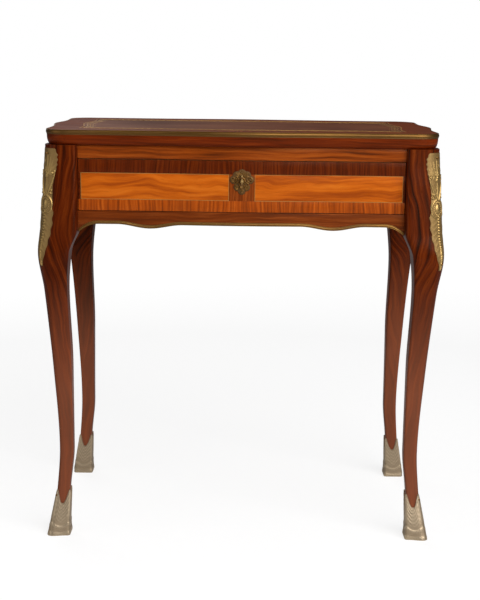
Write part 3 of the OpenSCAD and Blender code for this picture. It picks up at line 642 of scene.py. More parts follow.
def draw_wear(nodes: Nodes, entry: bpy.types.Node, leave: bpy.types.Node) -> None:
    """Draws patches, scratches and specks from a position in metres.

    Args:
        nodes: the group's nodes.
        entry: its input node.
        leave: its output node.
    """
    place = entry.outputs["Position"]
    squeezed = nodes.add("ShaderNodeVectorMath", operation="MULTIPLY")
    nodes.apply(squeezed, (0, 1), (place, (1.0, 14.0, 9.0)))
    cells = nodes.add("ShaderNodeTexVoronoi", Vector=place, Scale=420.0)
    nodes.fill(leave, Patches=nodes.span(nodes.noise(place, 14.0, 4.0), 0.35, 0.7),
               Scratches=nodes.span(nodes.noise(squeezed.outputs[0], 70.0, 2.0), 0.66, 0.74),
               Specks=nodes.span(cells.outputs["Distance"], 0.16, 0.05))


def figured(nodes: Nodes, **values: object) -> bpy.types.Node:
    """Puts the shared figure of sawn veneer into a material: stripes, slow tone and fine pores.

    Args:
        nodes: the material's nodes.
        values: the group's inputs.

    Returns:
        The group's node.
    """
    group = effect_group("wood figure", {"Grain": None, "Lines": 180.0, "Waviness": 0.02},
                         ("Figure", "Tone", "Pores"), draw_figure)
    return nodes.add("ShaderNodeGroup", node_tree=group, **values)


def worn(nodes: Nodes) -> bpy.types.Node:
    """Puts the shared marks of age into a material: patchy dulling, fine scratches and small specks."""
    group = effect_group("hand wear", {"Position": None}, ("Patches", "Scratches", "Specks"), draw_wear)
    return nodes.add("ShaderNodeGroup", node_tree=group, Position=nodes.place())


@dataclass(frozen=True)
class Finish:
    """A finish: its name and the record's slot it stands for."""

    name: str
    slot: str

    def draw(self, nodes: Nodes, shader: bpy.types.Node) -> None:
        """Draws the finish into a material's tree. Each kind of finish has its own.

        Args:
            nodes: the material's nodes.
            shader: its Principled shader.
        """
        raise NotImplementedError

    @property
    def material(self) -> bpy.types.Material:
        """The finish's material, made when it is first asked for.

        Returns:
            The material.
        """
        found = bpy.data.materials.get(self.name)
        if found is not None:
            return found
        made = bpy.data.materials.new(self.name)
        made.use_nodes = True
        nodes = Nodes(made.node_tree)
        shader = nodes.add("ShaderNodeBsdfPrincipled")
        nodes.add("ShaderNodeOutputMaterial", Surface=shader.outputs[0])
        self.draw(nodes, shader)
        LOG.info("finish %s", self.name)
        return made

    def dress(self, obj: bpy.types.Object) -> bpy.types.Object:
        """Gives an object this finish.

        Args:
            obj: the piece.

        Returns:
            The same piece.
        """
        if obj.data.materials:
            for k in range(len(obj.data.materials)):
                obj.data.materials[k] = self.material
        else:
            obj.data.materials.append(self.material)
        return obj


# The heights between which the legs' veneer goes from painted shade under the top to a lighter colour towards
# the foot, what it gains below the painted shade, and the polish's tint
PAINTED_SHADE_TOP = 0.5
PAINTED_SHADE_FOOT = 0.28
PAINTED_SHADE_LIFT = (0.115, 0.09, 0.066)
SHELLAC = (1.0, 0.74, 0.46, 1.0)


@dataclass(frozen=True)
class PolishedVeneer(Finish):
    """French-polished veneer, drawn in the grain coordinates of each piece."""

    dark: tuple = (0.05, 0.01, 0.004)
    middle: tuple = (0.15, 0.03, 0.008)
    light: tuple = (0.26, 0.07, 0.02)
    lines: float = 180.0
    waviness: float = 0.02
    tone_depth: float = 0.35
    pore_depth: float = 0.5
    roughness: float = 0.34
    coat: float = 0.04
    specular: float = 0.12
    # How strongly the colour is lifted below the painted shade that darkens the top of a leg
    painted_shade_ramp: float = 0.0

    def draw(self, nodes: Nodes, shader: bpy.types.Node) -> None:
        """Stripes between three browns, darker pores, and a polish that varies a little.

        Args:
            nodes: the material's nodes.
            shader: its Principled shader.
        """
        place = nodes.add("ShaderNodeAttribute", attribute_name="grain").outputs["Vector"]
        figure = figured(nodes, Grain=place, Lines=self.lines, Waviness=self.waviness).outputs
        dark, middle, light = rgba(self.dark), rgba(self.middle), rgba(self.light)
        wood = nodes.ramp(figure["Figure"], [(0.05, dark), (0.5, middle), (0.95, light)])
        toned = nodes.mix(nodes.times(figure["Tone"], self.tone_depth), wood, dark)
        colour = nodes.mix(nodes.times(figure["Pores"], self.pore_depth), toned, rgba(self.dark, 0.4))
        # Painted shade: the colour stays dark under the top and is lifted towards the foot
        if self.painted_shade_ramp:
            along = nodes.add("ShaderNodeSeparateXYZ", Vector=place).outputs[0]
            out_of_painted_shade = nodes.times(nodes.span(along, PAINTED_SHADE_TOP, PAINTED_SHADE_FOOT), self.painted_shade_ramp)
            lifted_below_shade = rgba(tuple(1.5 * c + lift for c, lift in zip(self.light, PAINTED_SHADE_LIFT)))
            colour = nodes.mix(out_of_painted_shade, colour, lifted_below_shade)
        wear = worn(nodes).outputs
        polish = nodes.span(wear["Patches"], 0, 1, self.roughness - 0.06, self.roughness + 0.1)
        nodes.fill(shader, Base_Color=colour,
                   Roughness=nodes.math("ADD", polish, nodes.times(wear["Scratches"], 0.08)),
                   Coat_Weight=self.coat, Coat_Roughness=0.12, Specular_IOR_Level=self.specular,
                   Specular_Tint=SHELLAC)
        nodes.emboss(shader, nodes.math("SUBTRACT", figure["Figure"], figure["Pores"]), 0.25, 0.0002)


@dataclass(frozen=True)
class Gilding(Finish):
    """Fire-gilt bronze: matt burnished gold on the high places, brown tarnish in the hollows."""

    bright: tuple = (0.72, 0.46, 0.16)
    tarnish: tuple = (0.16, 0.085, 0.03)
    roughness: float = 0.34
    hollow_depth: float = 0.8
    patch_depth: float = 0.42
    plain_patch_depth: float = 0.45
    has_relief: bool = True

    def draw(self, nodes: Nodes, shader: bpy.types.Node) -> None:
        """Tarnish by relief and by age, on a metal with a fine cast skin.

        Args:
            nodes: the material's nodes.
            shader: its Principled shader.
        """
        wear = worn(nodes).outputs
        if self.has_relief:
            relief = nodes.add("ShaderNodeAttribute", attribute_name="relief").outputs["Fac"]
            hollow = nodes.times(nodes.span(relief, 0.62, 0.15), self.hollow_depth)
            age = nodes.math("MAXIMUM", hollow, nodes.times(wear["Patches"], self.patch_depth))
        else:
            age = nodes.times(wear["Patches"], self.plain_patch_depth)
        spotted = nodes.math("MINIMUM", nodes.math("ADD", age, nodes.times(wear["Specks"], 0.3)), 1.0)
        nodes.fill(shader, Base_Color=nodes.mix(spotted, rgba(self.bright), rgba(self.tarnish)),
                   Roughness=nodes.span(spotted, 0, 1, self.roughness, self.roughness + 0.28),
                   Metallic=nodes.span(spotted, 0, 1, 1.0, 0.55))
        nodes.emboss(shader, nodes.noise(nodes.place(), 900.0, 3.0), 0.18, 0.0002)


@dataclass(frozen=True)
class Hide(Finish):
    """Waxed brown hide: a pebbled grain, worn paler where hands and papers rub."""

    deep: tuple = (0.085, 0.022, 0.007)
    worn: tuple = (0.22, 0.07, 0.024)

    def draw(self, nodes: Nodes, shader: bpy.types.Node) -> None:
        """Two browns by wear, with the pebble of the hide as bump and gloss.

        Args:
            nodes: the material's nodes.
            shader: its Principled shader.
        """
        place = nodes.place()
        wear = worn(nodes).outputs
        pebble = nodes.add("ShaderNodeTexVoronoi", Vector=place, Scale=620.0, feature="SMOOTH_F1")
        rub = nodes.times(nodes.span(nodes.noise(place, 5.0, 5.0), 0.35, 0.68), 0.8)
        base = nodes.mix(rub, rgba(self.deep), rgba(self.worn))
        crease = nodes.span(pebble.outputs["Distance"], 0.25, 0.75, 0.0, 0.35)
        gloss = nodes.math("ADD", nodes.span(rub, 0, 1, 0.6, 0.46), nodes.times(wear["Scratches"], 0.1))
        nodes.fill(shader, Base_Color=nodes.mix(crease, base, rgba(self.deep)), Roughness=gloss,
                   Specular_IOR_Level=0.1)
        nodes.emboss(shader, pebble.outputs["Distance"], 0.35, 0.0003, invert=True)


@dataclass(frozen=True)
class PlainOak(Finish):
    """Planed oak inside the carcass and drawer, a little grey with age, with rays and pores."""

    pale: tuple = (0.5, 0.28, 0.11)
    dark: tuple = (0.25, 0.12, 0.042)
    along: tuple = (1.0, 0.0, 0.0)
    lines: float = 240.0
    waviness: float = 0.012

    def draw(self, nodes: Nodes, shader: bpy.types.Node) -> None:
        """Grain along one axis of the object, with short dark pores.

        Args:
            nodes: the material's nodes.
            shader: its Principled shader.
        """
        axes = nodes.add("ShaderNodeSeparateXYZ", Vector=nodes.place()).outputs
        along, across, through = (axes[k] for k in sorted(range(3), key=lambda k: -self.along[k]))
        turned = nodes.add("ShaderNodeCombineXYZ", X=along, Z=nodes.times(through, 3.0),
                           Y=nodes.math("ADD", across, nodes.times(through, 0.37)))
        figure = figured(nodes, Grain=turned.outputs[0], Lines=self.lines, Waviness=self.waviness).outputs
        wood = nodes.ramp(figure["Figure"], [(0.0, rgba(self.dark)), (0.7, rgba(self.pale))])
        aged = nodes.mix(nodes.times(figure["Tone"], 0.5), wood, rgba(self.dark))
        nodes.fill(shader, Roughness=nodes.span(figure["Figure"], 0, 1, 0.68, 0.55),
                   Base_Color=nodes.mix(nodes.times(figure["Pores"], 0.7), aged, rgba(self.dark, 0.5)))
        nodes.emboss(shader, figure["Pores"], 0.3, 0.0003, invert=True)


@dataclass(frozen=True)
class WorkedMetal(Finish):
    """Plain filed metal of the lock and screws, dulled and scratched."""

    colour: tuple = (0.4, 0.38, 0.35)
    stain: tuple = (0.12, 0.08, 0.05)
    roughness: float = 0.35

    def draw(self, nodes: Nodes, shader: bpy.types.Node) -> None:
        """Stained metal with file marks.

        Args:
            nodes: the material's nodes.
            shader: its Principled shader.
        """
        wear = worn(nodes).outputs
        stain = nodes.times(wear["Patches"], 0.6)
        dull = nodes.span(stain, 0, 1, self.roughness, 0.7)
        nodes.fill(shader, Base_Color=nodes.mix(stain, rgba(self.colour), rgba(self.stain)), Metallic=1.0,
                   Roughness=nodes.math("ADD", dull, nodes.times(wear["Scratches"], 0.15)))
        nodes.emboss(shader, wear["Scratches"], 0.2, 0.0002)


KINGWOOD = PolishedVeneer("kingwood cross-banding", "kingwood", dark=(0.06, 0.008, 0.001),
                          middle=(0.17, 0.024, 0.003), light=(0.28, 0.05, 0.007), lines=260.0)
RAIL_WOOD = PolishedVeneer("kingwood rail", "kingwood", dark=(0.1, 0.017, 0.002),
                           middle=(0.3, 0.052, 0.004), light=(0.43, 0.09, 0.009), lines=200.0)
TOP_EDGE = PolishedVeneer("moulded edge of the top", "kingwood", dark=(0.07, 0.01, 0.001),
                          middle=(0.15, 0.017, 0.0015), light=(0.235, 0.034, 0.003), lines=220.0)
# Its browns are kept dark for painted shade under the top, and are lifted towards the foot
LEG_WOOD = PolishedVeneer("leg veneer", "leg_wood", dark=(0.02, 0.003, 0.001),
                          middle=(0.1, 0.012, 0.001), light=(0.19, 0.031, 0.003), lines=150.0,
                          waviness=0.03, specular=0.08, painted_shade_ramp=0.4)
TULIPWOOD = PolishedVeneer("tulipwood panel", "tulipwood", dark=(0.33, 0.055, 0.003),
                           middle=(0.57, 0.114, 0.005), light=(0.71, 0.175, 0.012), lines=120.0,
                           waviness=0.035, tone_depth=0.25, pore_depth=0.25)
STRING = PolishedVeneer("boxwood string", "tulipwood", dark=(0.3, 0.13, 0.03), middle=(0.42, 0.2, 0.05),
                        light=(0.52, 0.28, 0.08), lines=100.0, pore_depth=0.1)
APRON_WOOD = PolishedVeneer("apron veneer", "kingwood", dark=(0.1, 0.018, 0.003),
                            middle=(0.17, 0.03, 0.004), light=(0.27, 0.06, 0.01), lines=220.0)
# Two copies of one kingwood: the drawer's upper band, and the ends that share its colour, carry painted shade
# from the top's overhang, and its lower band carries painted light from the floor
SHADED_BAND = PolishedVeneer("cross-banding in painted shade", "kingwood", dark=(0.05, 0.007, 0.001),
                           middle=(0.11, 0.013, 0.001), light=(0.18, 0.028, 0.002), lines=280.0)
LIT_BAND = PolishedVeneer("cross-banding with painted light", "kingwood", dark=(0.17, 0.03, 0.004),
                            middle=(0.4, 0.066, 0.004), light=(0.54, 0.108, 0.009), lines=240.0)
CENTRE_WOOD = PolishedVeneer("centre strip", "kingwood", dark=(0.12, 0.02, 0.002),
                             middle=(0.25, 0.045, 0.005), light=(0.37, 0.08, 0.01), lines=240.0)
PLATE_GILT = Gilding("gilt keyhole plate", "gilt_bronze", bright=(0.25, 0.12, 0.027),
                     tarnish=(0.06, 0.03, 0.01), hollow_depth=1.0)
PLATE_GILT_PLAIN = Gilding("gilt pins", "gilt_bronze", bright=(0.32, 0.18, 0.06), has_relief=False)
OAK_X = PlainOak("oak, grain across", "oak", along=(1, 0, 0))
OAK_Y = PlainOak("oak, grain front to back", "oak", along=(0, 1, 0))
LEATHER = Hide("brown hide", "leather")
TOOLING = Gilding("gilt tooling", "leather", bright=(0.6, 0.36, 0.1), tarnish=(0.2, 0.09, 0.03),
                  roughness=0.42, has_relief=False)
GILT_BRONZE = Gilding("gilt bronze", "gilt_bronze", bright=(0.57, 0.375, 0.135), tarnish=(0.15, 0.075, 0.022))
SHOE_GILT = Gilding("gilt bronze of the shoes", "gilt_bronze", bright=(0.7, 0.55, 0.37),
                    tarnish=(0.22, 0.15, 0.09))
BORDER_WOOD = PolishedVeneer("border cross-banding", "kingwood", dark=(0.07, 0.012, 0.003),
                             middle=(0.15, 0.026, 0.003), light=(0.26, 0.056, 0.009), lines=300.0,
                             roughness=0.44, coat=0.0, specular=0.06)
BAND_BRASS = Gilding("gilt band", "gilt_brass", bright=(0.2, 0.1, 0.025), tarnish=(0.08, 0.03, 0.008))
GILT_BRASS = Gilding("gilt brass edging", "gilt_brass", bright=(0.28, 0.14, 0.035), tarnish=(0.1, 0.04, 0.01),
                     has_relief=False)
LOCK_BRASS = WorkedMetal("lock brass", "lock_brass", colour=(0.5, 0.34, 0.13), stain=(0.16, 0.09, 0.03))
STEEL = WorkedMetal("dull steel", "steel")


# Shared forms

def corner_arc(centre: tuple, radius: float, start: float, steps: int) -> np.ndarray:
    """Points of a quarter circle, its two ends left out."""
    angles = np.radians(start + 90.0 * np.arange(1, steps) / steps)
    return np.stack([centre[0] + radius * np.cos(angles), centre[1] + radius * np.sin(angles)], 1)


def outline(inset: float, long_steps: int = 120, short_steps: int = 72, arc_steps: int = 12) -> np.ndarray:
    """The closed outline of the top in plan, drawn in by an inset.

    Args:
        inset: how far inside the top's edge it runs.
        long_steps: steps along the front and the back.
        short_steps: steps along each side.
        arc_steps: steps round each corner.

    Returns:
        Points n by 2, from the front's left end to the right, counted round.
    """
    radius = max(SIZES.corner_radius - inset, 0.004)
    parts = []
    for side in Side:
        half = SIZES.half_width if side.is_long else SIZES.half_depth
        reach = half - inset - radius
        place = np.linspace(-reach, reach, (long_steps if side.is_long else short_steps) + 1)
        out = SIZES.out(side, inset) + SIZES.top_swell(place, side)
        run = side.place(np.stack([place, -out, np.zeros_like(place)], 1))[:, :2]
        corner = side.place(np.array([[reach, -(SIZES.out(side, inset) - radius), 0.0]]))[0]
        parts += [run, corner_arc((corner[0], corner[1]), radius, side.value - 90, arc_steps)]
    return np.concatenate(parts)


def passed_length(points: np.ndarray) -> np.ndarray:
    """The length passed along a run of points, from 0 at the first."""
    steps = np.linalg.norm(np.diff(points, axis=0), axis=1)
    return np.concatenate([[0.0], np.cumsum(steps)])


@dataclass(frozen=True)
class Board:
    """A thin board that follows one side of the frieze.

    Attributes:
        side: the side of the table it follows.
        start: where it starts along that side.
        end: where it ends.
        front: distance of its face from the middle, without the frieze's swell.
        back: distance of its inner face.
        low: height of its lower edge, as a number or by place.
        high: height of its upper edge, as a number or by place.
        cross_grain: whether its grain stands upright.
        rounding: radius of its long edges.
        offset: where in the wood it was cut, so that no two boards look alike.
        flat_back: whether its inner face is flat rather than bowed like the front.
    """

    side: Side
    start: float
    end: float
    front: float
    back: float
    low: float | Callable
    high: float | Callable
    cross_grain: bool = False
    rounding: float = 0.0005
    offset: float = 0.0
    flat_back: bool = False

    def build(self, name: str, steps: int = 72) -> bpy.types.Object:
        """Makes the board.

        Args:
            name: the piece's name.
            steps: steps along it.

        Returns:
            The new object.
        """
        place = np.linspace(self.start, self.end, steps + 1)
        low = self.low(place) if callable(self.low) else np.full_like(place, self.low)
        high = self.high(place) if callable(self.high) else np.full_like(place, self.high)
        bow = SIZES.frieze_swell(place, self.side)
        rings = []
        grains = []
        for p, z0, z1, b in zip(place, low, high, bow):
            back = self.back - b if self.flat_back else self.back
            section = rounded_section(z0, z1, back, self.front, self.rounding)
            out, z = section[:, 0] + b, section[:, 1]
            rings.append(np.stack([np.full_like(out, p), -out, z], 1))
            depth = out - b
            if self.cross_grain:
                grains.append(np.stack([z + depth, np.full_like(out, p + self.offset), depth], 1))
            else:
                grains.append(np.stack([np.full_like(out, p + self.offset), z + depth, depth], 1))
        patch = Patchwork()
        patch.add(self.side.place(np.array(rings).reshape(-1, 3)).reshape(len(rings), -1, 3),
                  round_v=True, caps=True, grain=np.array(grains) + self.offset * np.array([0, 1, 1]))
        return patch.build(name)


@dataclass(frozen=True)
class LegForm:
    """The form of a leg: its faces by height, measured from the edge of the top."""

    sizes: TableSizes
    knee_drop: float = 0.075
    knee_out: float = 0.014
    knee_width: float = 0.059
    shin_width: float = 0.0435
    calf_width: float = 0.0345
    calf_in: float = 0.010
    ankle_height: float = 0.165
    ankle_in: float = 0.0185
    ankle_width: float = 0.026
    foot_width: float = 0.030
    foot_in: float = 0.004
    foot_tuck: float = 0.007
    shoe_height: float = 0.086
    sole: float = 0.005
    stile_swell: float = 0.004
    shin_arris: float = 0.28
    knee_arris: float = 0.5
    small_arris: float = 0.12
    arris_steps: int = 8
    flat_steps: int = 5

    @property
    def knee_height(self) -> float:
        """Height of the widest point of the knee."""
        return self.sizes.opening_bottom - self.knee_drop

    @cached_property
    def rows(self) -> Rows:
        """Rows of height, outer face, inner face and tuck.

        Returns:
            The rows.
        """
        s = self.sizes
        knee, stile = self.knee_height, -s.stile_inset
        foot = -(self.ankle_in + self.foot_in) * 0.6
        return Rows((
            (self.sole, -self.foot_in, -self.foot_in - self.foot_width, self.foot_tuck),
            (self.shoe_height, foot, foot - self.ankle_width + 0.002, self.foot_tuck),
            (self.ankle_height, -self.ankle_in, -self.ankle_in - self.ankle_width, self.foot_tuck * 0.8),
            (knee * 0.6, -self.calf_in, -self.calf_in - self.calf_width, self.foot_tuck * 0.4),
            (knee * 0.87, self.knee_out * 0.25, self.knee_out * 0.25 - self.shin_width,
             self.foot_tuck * 0.1),
            (knee, self.knee_out, self.knee_out - self.knee_width, 0.0),
            (s.opening_bottom - self.knee_drop * 0.4, self.knee_out * 0.72, stile, 0.0),
            (s.opening_bottom + s.opening_height / 2, self.stile_swell, stile, 0.0),
            (s.frame_top - s.seat, 0.0, stile, 0.0)))

    def outer(self, z: float) -> float:
        """Outer face of the leg at a height."""
        return float(self.rows.at(z, 1))

    def inner(self, z: float) -> float:
        """Inner face of the leg at a height."""
        return float(self.rows.at(z, 2))

    def tuck(self, z: float) -> float:
        """How much nearer to the middle the leg stands from front to back."""
        return float(self.rows.at(z, 3))

    def arris(self, z: float) -> float:
        """Radius of the outer arris at a height.

        Args:
            z: the height.

        Returns:
            The radius.
        """
        rounding = float(ramp((z - self.knee_height * 0.7) / (self.knee_height * 0.25)))
        return (self.outer(z) - self.inner(z)) * (
            self.shin_arris + (self.knee_arris - self.shin_arris) * rounding)

    def ring(self, z: float, grow: float = 0.0) -> np.ndarray:
        """The leg's section at a height, as it stands at +X +Y.

        Args:
            z: the height.
            grow: how far to grow it outwards.

        Returns:
            Points n by 3, counted round from the inner end of the face at +X.
        """
        outer, inner, tuck = self.outer(z) + grow, self.inner(z) - grow, self.tuck(z)
        s = self.sizes
        small = self.small_arris * (outer - inner)
        big = self.arris(z) + grow
        x0, x1 = s.half_width + inner, s.half_width + outer
        y0, y1 = s.half_depth + inner - tuck, s.half_depth + outer - tuck
        corners = ((x1 - small, y0 + small, small, -90), (x1 - big, y1 - big, big, 0),
                   (x0 + small, y1 - small, small, 90), (x0 + small, y0 + small, small, 180))
        arcs = []
        for cx, cy, radius, start in corners:
            a = np.radians(start + 90.0 * np.arange(self.arris_steps + 1) / self.arris_steps)
            arcs.append(np.stack([cx + radius * np.cos(a), cy + radius * np.sin(a)], 1))
        points = []
        for k, run in enumerate(arcs):
            following = arcs[(k + 1) % 4][0]
            points.append(run)
            share = np.arange(1, self.flat_steps)[:, None] / self.flat_steps
            points.append(run[-1] + (following - run[-1]) * share)
        ring = np.concatenate(points)
        return np.concatenate([ring, np.full((len(ring), 1), z)], 1)

    def arris_point(self, z: float, along: np.ndarray, grow: np.ndarray) -> np.ndarray:
        """Points on the leg's surface, by their distance along it from the outer arris.

        Args:
            z: the height.
            along: distances from the middle of the arris, positive towards -X.
            grow: how far the points stand out from the wood.

        Returns:
            Points n by 3.
        """
        radius = self.arris(z)
        x = self.sizes.half_width + self.outer(z) - radius
        y = self.sizes.half_depth + self.outer(z) - self.tuck(z) - radius
        quarter = radius * math.pi / 4
        reach = np.maximum(np.abs(along) - quarter, 0)
        angle = np.pi / 4 + np.sign(along) * np.minimum(np.abs(along), quarter) / radius
        px = x + (radius + grow) * np.cos(angle) - np.where(along > 0, reach, 0)
        py = y + (radius + grow) * np.sin(angle) - np.where(along > 0, 0, reach)
        return np.stack([px, py, np.full_like(px, z)], 1)


# Pieces

def kept(node: str) -> bpy.types.Object:
    """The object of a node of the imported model."""
    return frame["nodes"][node]


@dataclass
class Assembly:
    """A group of pieces. Each kind builds its own, and dresses what it keeps of the model."""

    sizes: TableSizes
    body: ClassVar[str] = "table"

    def swap(self, piece: bpy.types.Object, *nodes: str) -> bpy.types.Object:
        """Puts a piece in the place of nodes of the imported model, and logs it.

        Args:
            piece: the new piece.
            nodes: the nodes that it stands for.

        Returns:
            The same piece.
        """
        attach(piece, self.body)
        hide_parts(*nodes)
        LOG.info("piece %s in place of %s", piece.name, ", ".join(nodes))
        return piece

    def build(self) -> None:
        """Makes the group's new pieces."""

    def dress(self) -> None:
        """Gives finishes to the nodes that the group keeps."""


@dataclass
class Top(Assembly):
    """The top: a moulded board, its gilt band, a cross-banded border and tooled leather."""

    moulding_depth: float = 0.005
    moulding_fillet: float = 0.0015
    moulding_steps: int = 12
    band_fillet: float = 0.0016
    bead_depth: float = 0.0011
    string_width: float = 0.0016
    tooling_margin: float = 0.005
    tooling_width: float = 0.012
    leather_drop: float = 0.0003

    @property
    def board_top(self) -> float:
        """Height of the board under the veneer."""
        return self.sizes.height - self.sizes.veneer

    def build(self) -> None:
        """Makes the board, the band, the border, its string and the leather."""
        self.build_board()
        self.build_band()
        for side in Side:
            self.build_border(side)
        self.build_string()
        self.build_leather()

    def build_board(self) -> None:
        """Makes the board with its quarter-round edge under the band."""
        s = self.sizes
        low, high = s.frame_top, s.height - s.band_height
        rim = s.band_thickness + s.seat
        profile = [(self.moulding_fillet + self.moulding_depth * (1 - math.cos(a)),
                    high - (high - low - 0.001) * math.sin(a))
                   for a in np.linspace(0, math.pi / 2, self.moulding_steps)][::-1]
        profile = [(profile[0][0] + 0.0008, low)] + [(i, max(z, low + 0.0004)) for i, z in profile]
        profile += [(self.moulding_fillet, high - 0.0003), (rim, high - 0.0001), (rim, self.board_top)]
        patch = Patchwork()
        patch.sweep(profile, False)
        patch.cap(profile[0][0], low)
        patch.cap(profile[-1][0], self.board_top)
        self.swap(TOP_EDGE.dress(welded(patch.build("top_moulded"))), "top_board")

    def build_band(self) -> None:
        """Makes the gilt band: two fillets with a bead between."""
        high = self.sizes.height
        low = high - self.sizes.band_height + SEAM
        wide = self.sizes.band_thickness
        fillet = self.band_fillet
        bead = [(self.bead_depth * (1 - math.sin(a)),
                 (low + high) / 2 - (high - low - 2 * fillet) / 2 * math.cos(a))
                for a in np.linspace(0.0, math.pi, 11)]
        profile = [(wide - 0.0001, low), (0.0013, low), (0.0009, low + 0.0004),
                   (0.0009, low + fillet - 0.0003), *bead, (0.0006, high - fillet + 0.0004),
                   (0.0006, high - 0.0004), (0.001, high), (wide - 0.0001, high)]
        patch = Patchwork()
        patch.sweep(profile, True, [0.3 if i > 0.00085 and z < high - 0.001 else 1.0 for i, z in profile])
        self.swap(BAND_BRASS.dress(patch.build("top_gilt_band")), "top_band")

    def edge_run(self, side: Side, inset: float, steps: int) -> np.ndarray:
        """One side of an outline with half of each corner beside it, in even steps.

        Args:
            side: which side.
            inset: how far inside the top's edge it runs.
            steps: how many steps it has.

        Returns:
            Points n by 2.
        """
        arc_steps, long_steps, short_steps = 16, 120, 72
        ring = outline(inset, long_steps, short_steps, arc_steps)
        counts = [long_steps + 1 + arc_steps - 1, short_steps + 1 + arc_steps - 1]
        starts = [0, counts[0], counts[0] + counts[1], 2 * counts[0] + counts[1]]
        index = list(Side).index(side)
        own = (long_steps if side.is_long else short_steps) + 1
        first = starts[index] - arc_steps // 2
        chosen = np.arange(first, starts[index] + own + arc_steps // 2) % len(ring)
        run = ring[chosen]
        length = passed_length(run)
        at = np.linspace(0, length[-1], steps + 1)
        return np.stack([np.interp(at, length, run[:, k]) for k in range(2)], 1)

    def build_border(self, side: Side) -> None:
        """Makes one mitred strip of the border, its grain square to the edge.

        Args:
            side: which side it lies along.
        """
        steps, rows = 150, 6
        s = self.sizes
        outer = self.edge_run(side, s.band_thickness + s.seat, steps)
        inner = self.edge_run(side, s.border_width - self.string_width - 2 * SEAM, steps)
        share = np.linspace(0, 1, rows + 1)[None, :, None]
        flat = outer[:, None, :] * (1 - share) + inner[:, None, :] * share
        along = passed_length(outer)[:, None] + np.zeros((1, rows + 1))
        across = np.linspace(0, s.border_width, rows + 1)[None, :] + np.zeros((steps + 1, 1))
        offset = 3.1 * list(Side).index(side)
        layers = []
        for z in (s.height, self.board_top + LIFT):
            layers.append(np.concatenate([flat, np.full((*flat.shape[:2], 1), z)], 2))
        grain = np.stack([across, along + offset, np.full_like(along, offset)], 2)
        patch = Patchwork()
        section = np.concatenate([layers[0], layers[1][:, ::-1]], 1)
        patch.add(section, round_v=True, caps=True, grain=np.concatenate([grain, grain[:, ::-1]], 1))
        piece = BORDER_WOOD.dress(patch.build(f"border_{side.name.lower()}"))
        self.swap(piece, "top_border")

    def build_string(self) -> None:
        """Makes the pale string between the border and the leather."""
        inset, wide = self.sizes.border_width, self.string_width
        low, high = self.board_top + LIFT, self.sizes.height
        profile = [(inset, low), (inset - wide, low), (inset - wide, high), (inset, high)]
        patch = Patchwork()
        patch.sweep(profile, True)
        self.swap(STRING.dress(patch.build("border_string")), "top_border")

    def build_leather(self) -> None:
        """Makes the leather, and the gilt lines and flowers tooled round it."""
        low, high = self.board_top + LIFT, self.sizes.height - self.leather_drop
        start = self.sizes.border_width + self.sizes.seat
        profile = [(start, low), (start, high - 0.0002), (start + 0.0003, high)]
        patch = Patchwork()
        patch.sweep(profile, False)
        patch.cap(profile[0][0], low)
        patch.cap(profile[-1][0], high)
        self.swap(LEATHER.dress(welded(patch.build("leather"))), "leather_skiver")
        tooling = Patchwork()
        foil, pressed = high + 0.00008, high - 0.0001
        first = start + self.tooling_margin
        last = first + self.tooling_width
        for inset, wide in ((first, 0.0009), (first + 0.0022, 0.0004), (last - 0.0022, 0.0004),
                            (last, 0.0007), (last + 0.004, 0.0003)):
            line = [(inset, pressed), (inset, foil), (inset + wide, foil), (inset + wide, pressed)]
            tooling.sweep(line, True)
        self.add_flowers(tooling, (first + last) / 2 + 0.0003, foil, pressed)
        self.swap(TOOLING.dress(tooling.build("leather_tooling")), "leather_skiver")

    def add_flowers(self, tooling: Patchwork, inset: float, foil: float, low: float) -> None:
        """Adds a running band of small tooled flowers and leaves.

        Args:
            tooling: the patchwork that they join.
            inset: how far inside the top's edge they run.
            foil: height of the foil.
            low: height of its underside.
        """
        path = outline(inset, 400, 240, 24)
        closed = np.concatenate([path, path[:1]])
        length = passed_length(closed)
        count = int(round(length[-1] / 0.0115))
        places = (np.arange(count) + 0.5) * length[-1] / count
        centre = np.stack([np.interp(places, length, closed[:, k]) for k in range(2)], 1)
        ahead = np.stack([np.interp((places + 0.002) % length[-1], length, closed[:, k])
                          for k in range(2)], 1)
        heading = ahead - centre
        heading /= np.linalg.norm(heading, axis=1)[:, None]
        angles = np.linspace(0, 2 * np.pi, 24, endpoint=False)
        petal = 0.0021 * (0.62 + 0.38 * np.cos(4 * angles))
        leaf = 0.0028 * np.abs(np.cos(angles)) ** 1.5 + 0.0004
        for k in range(count):
            along, side = heading[k], np.array([-heading[k][1], heading[k][0]])
            radius = petal if k % 2 == 0 else leaf
            flat = centre[k] + (radius * np.cos(angles))[:, None] * along + (
                radius * np.sin(angles))[:, None] * side
            top = np.concatenate([flat, np.full((len(flat), 1), foil)], 1)
            bottom = np.concatenate([flat, np.full((len(flat), 1), low)], 1)
            tooling.add(np.stack([bottom, top]), round_v=True, caps=True)


def welded(obj: bpy.types.Object, distance: float = 0.000002, crease: float = 25.0) -> bpy.types.Object:
    """Joins points that lie on each other, so that a piece is one closed skin with sharp rims.

    Args:
        obj: the piece.
        distance: how far apart joined points may lie.
        crease: the angle in degrees above which an edge is sharp.

    Returns:
        The same piece.
    """
    work = bmesh.new()
    work.from_mesh(obj.data)
    bmesh.ops.remove_doubles(work, verts=work.verts, dist=distance)
    bmesh.ops.recalc_face_normals(work, faces=work.faces)
    sharpen(work, crease)
    work.to_mesh(obj.data)
    work.free()
    return obj


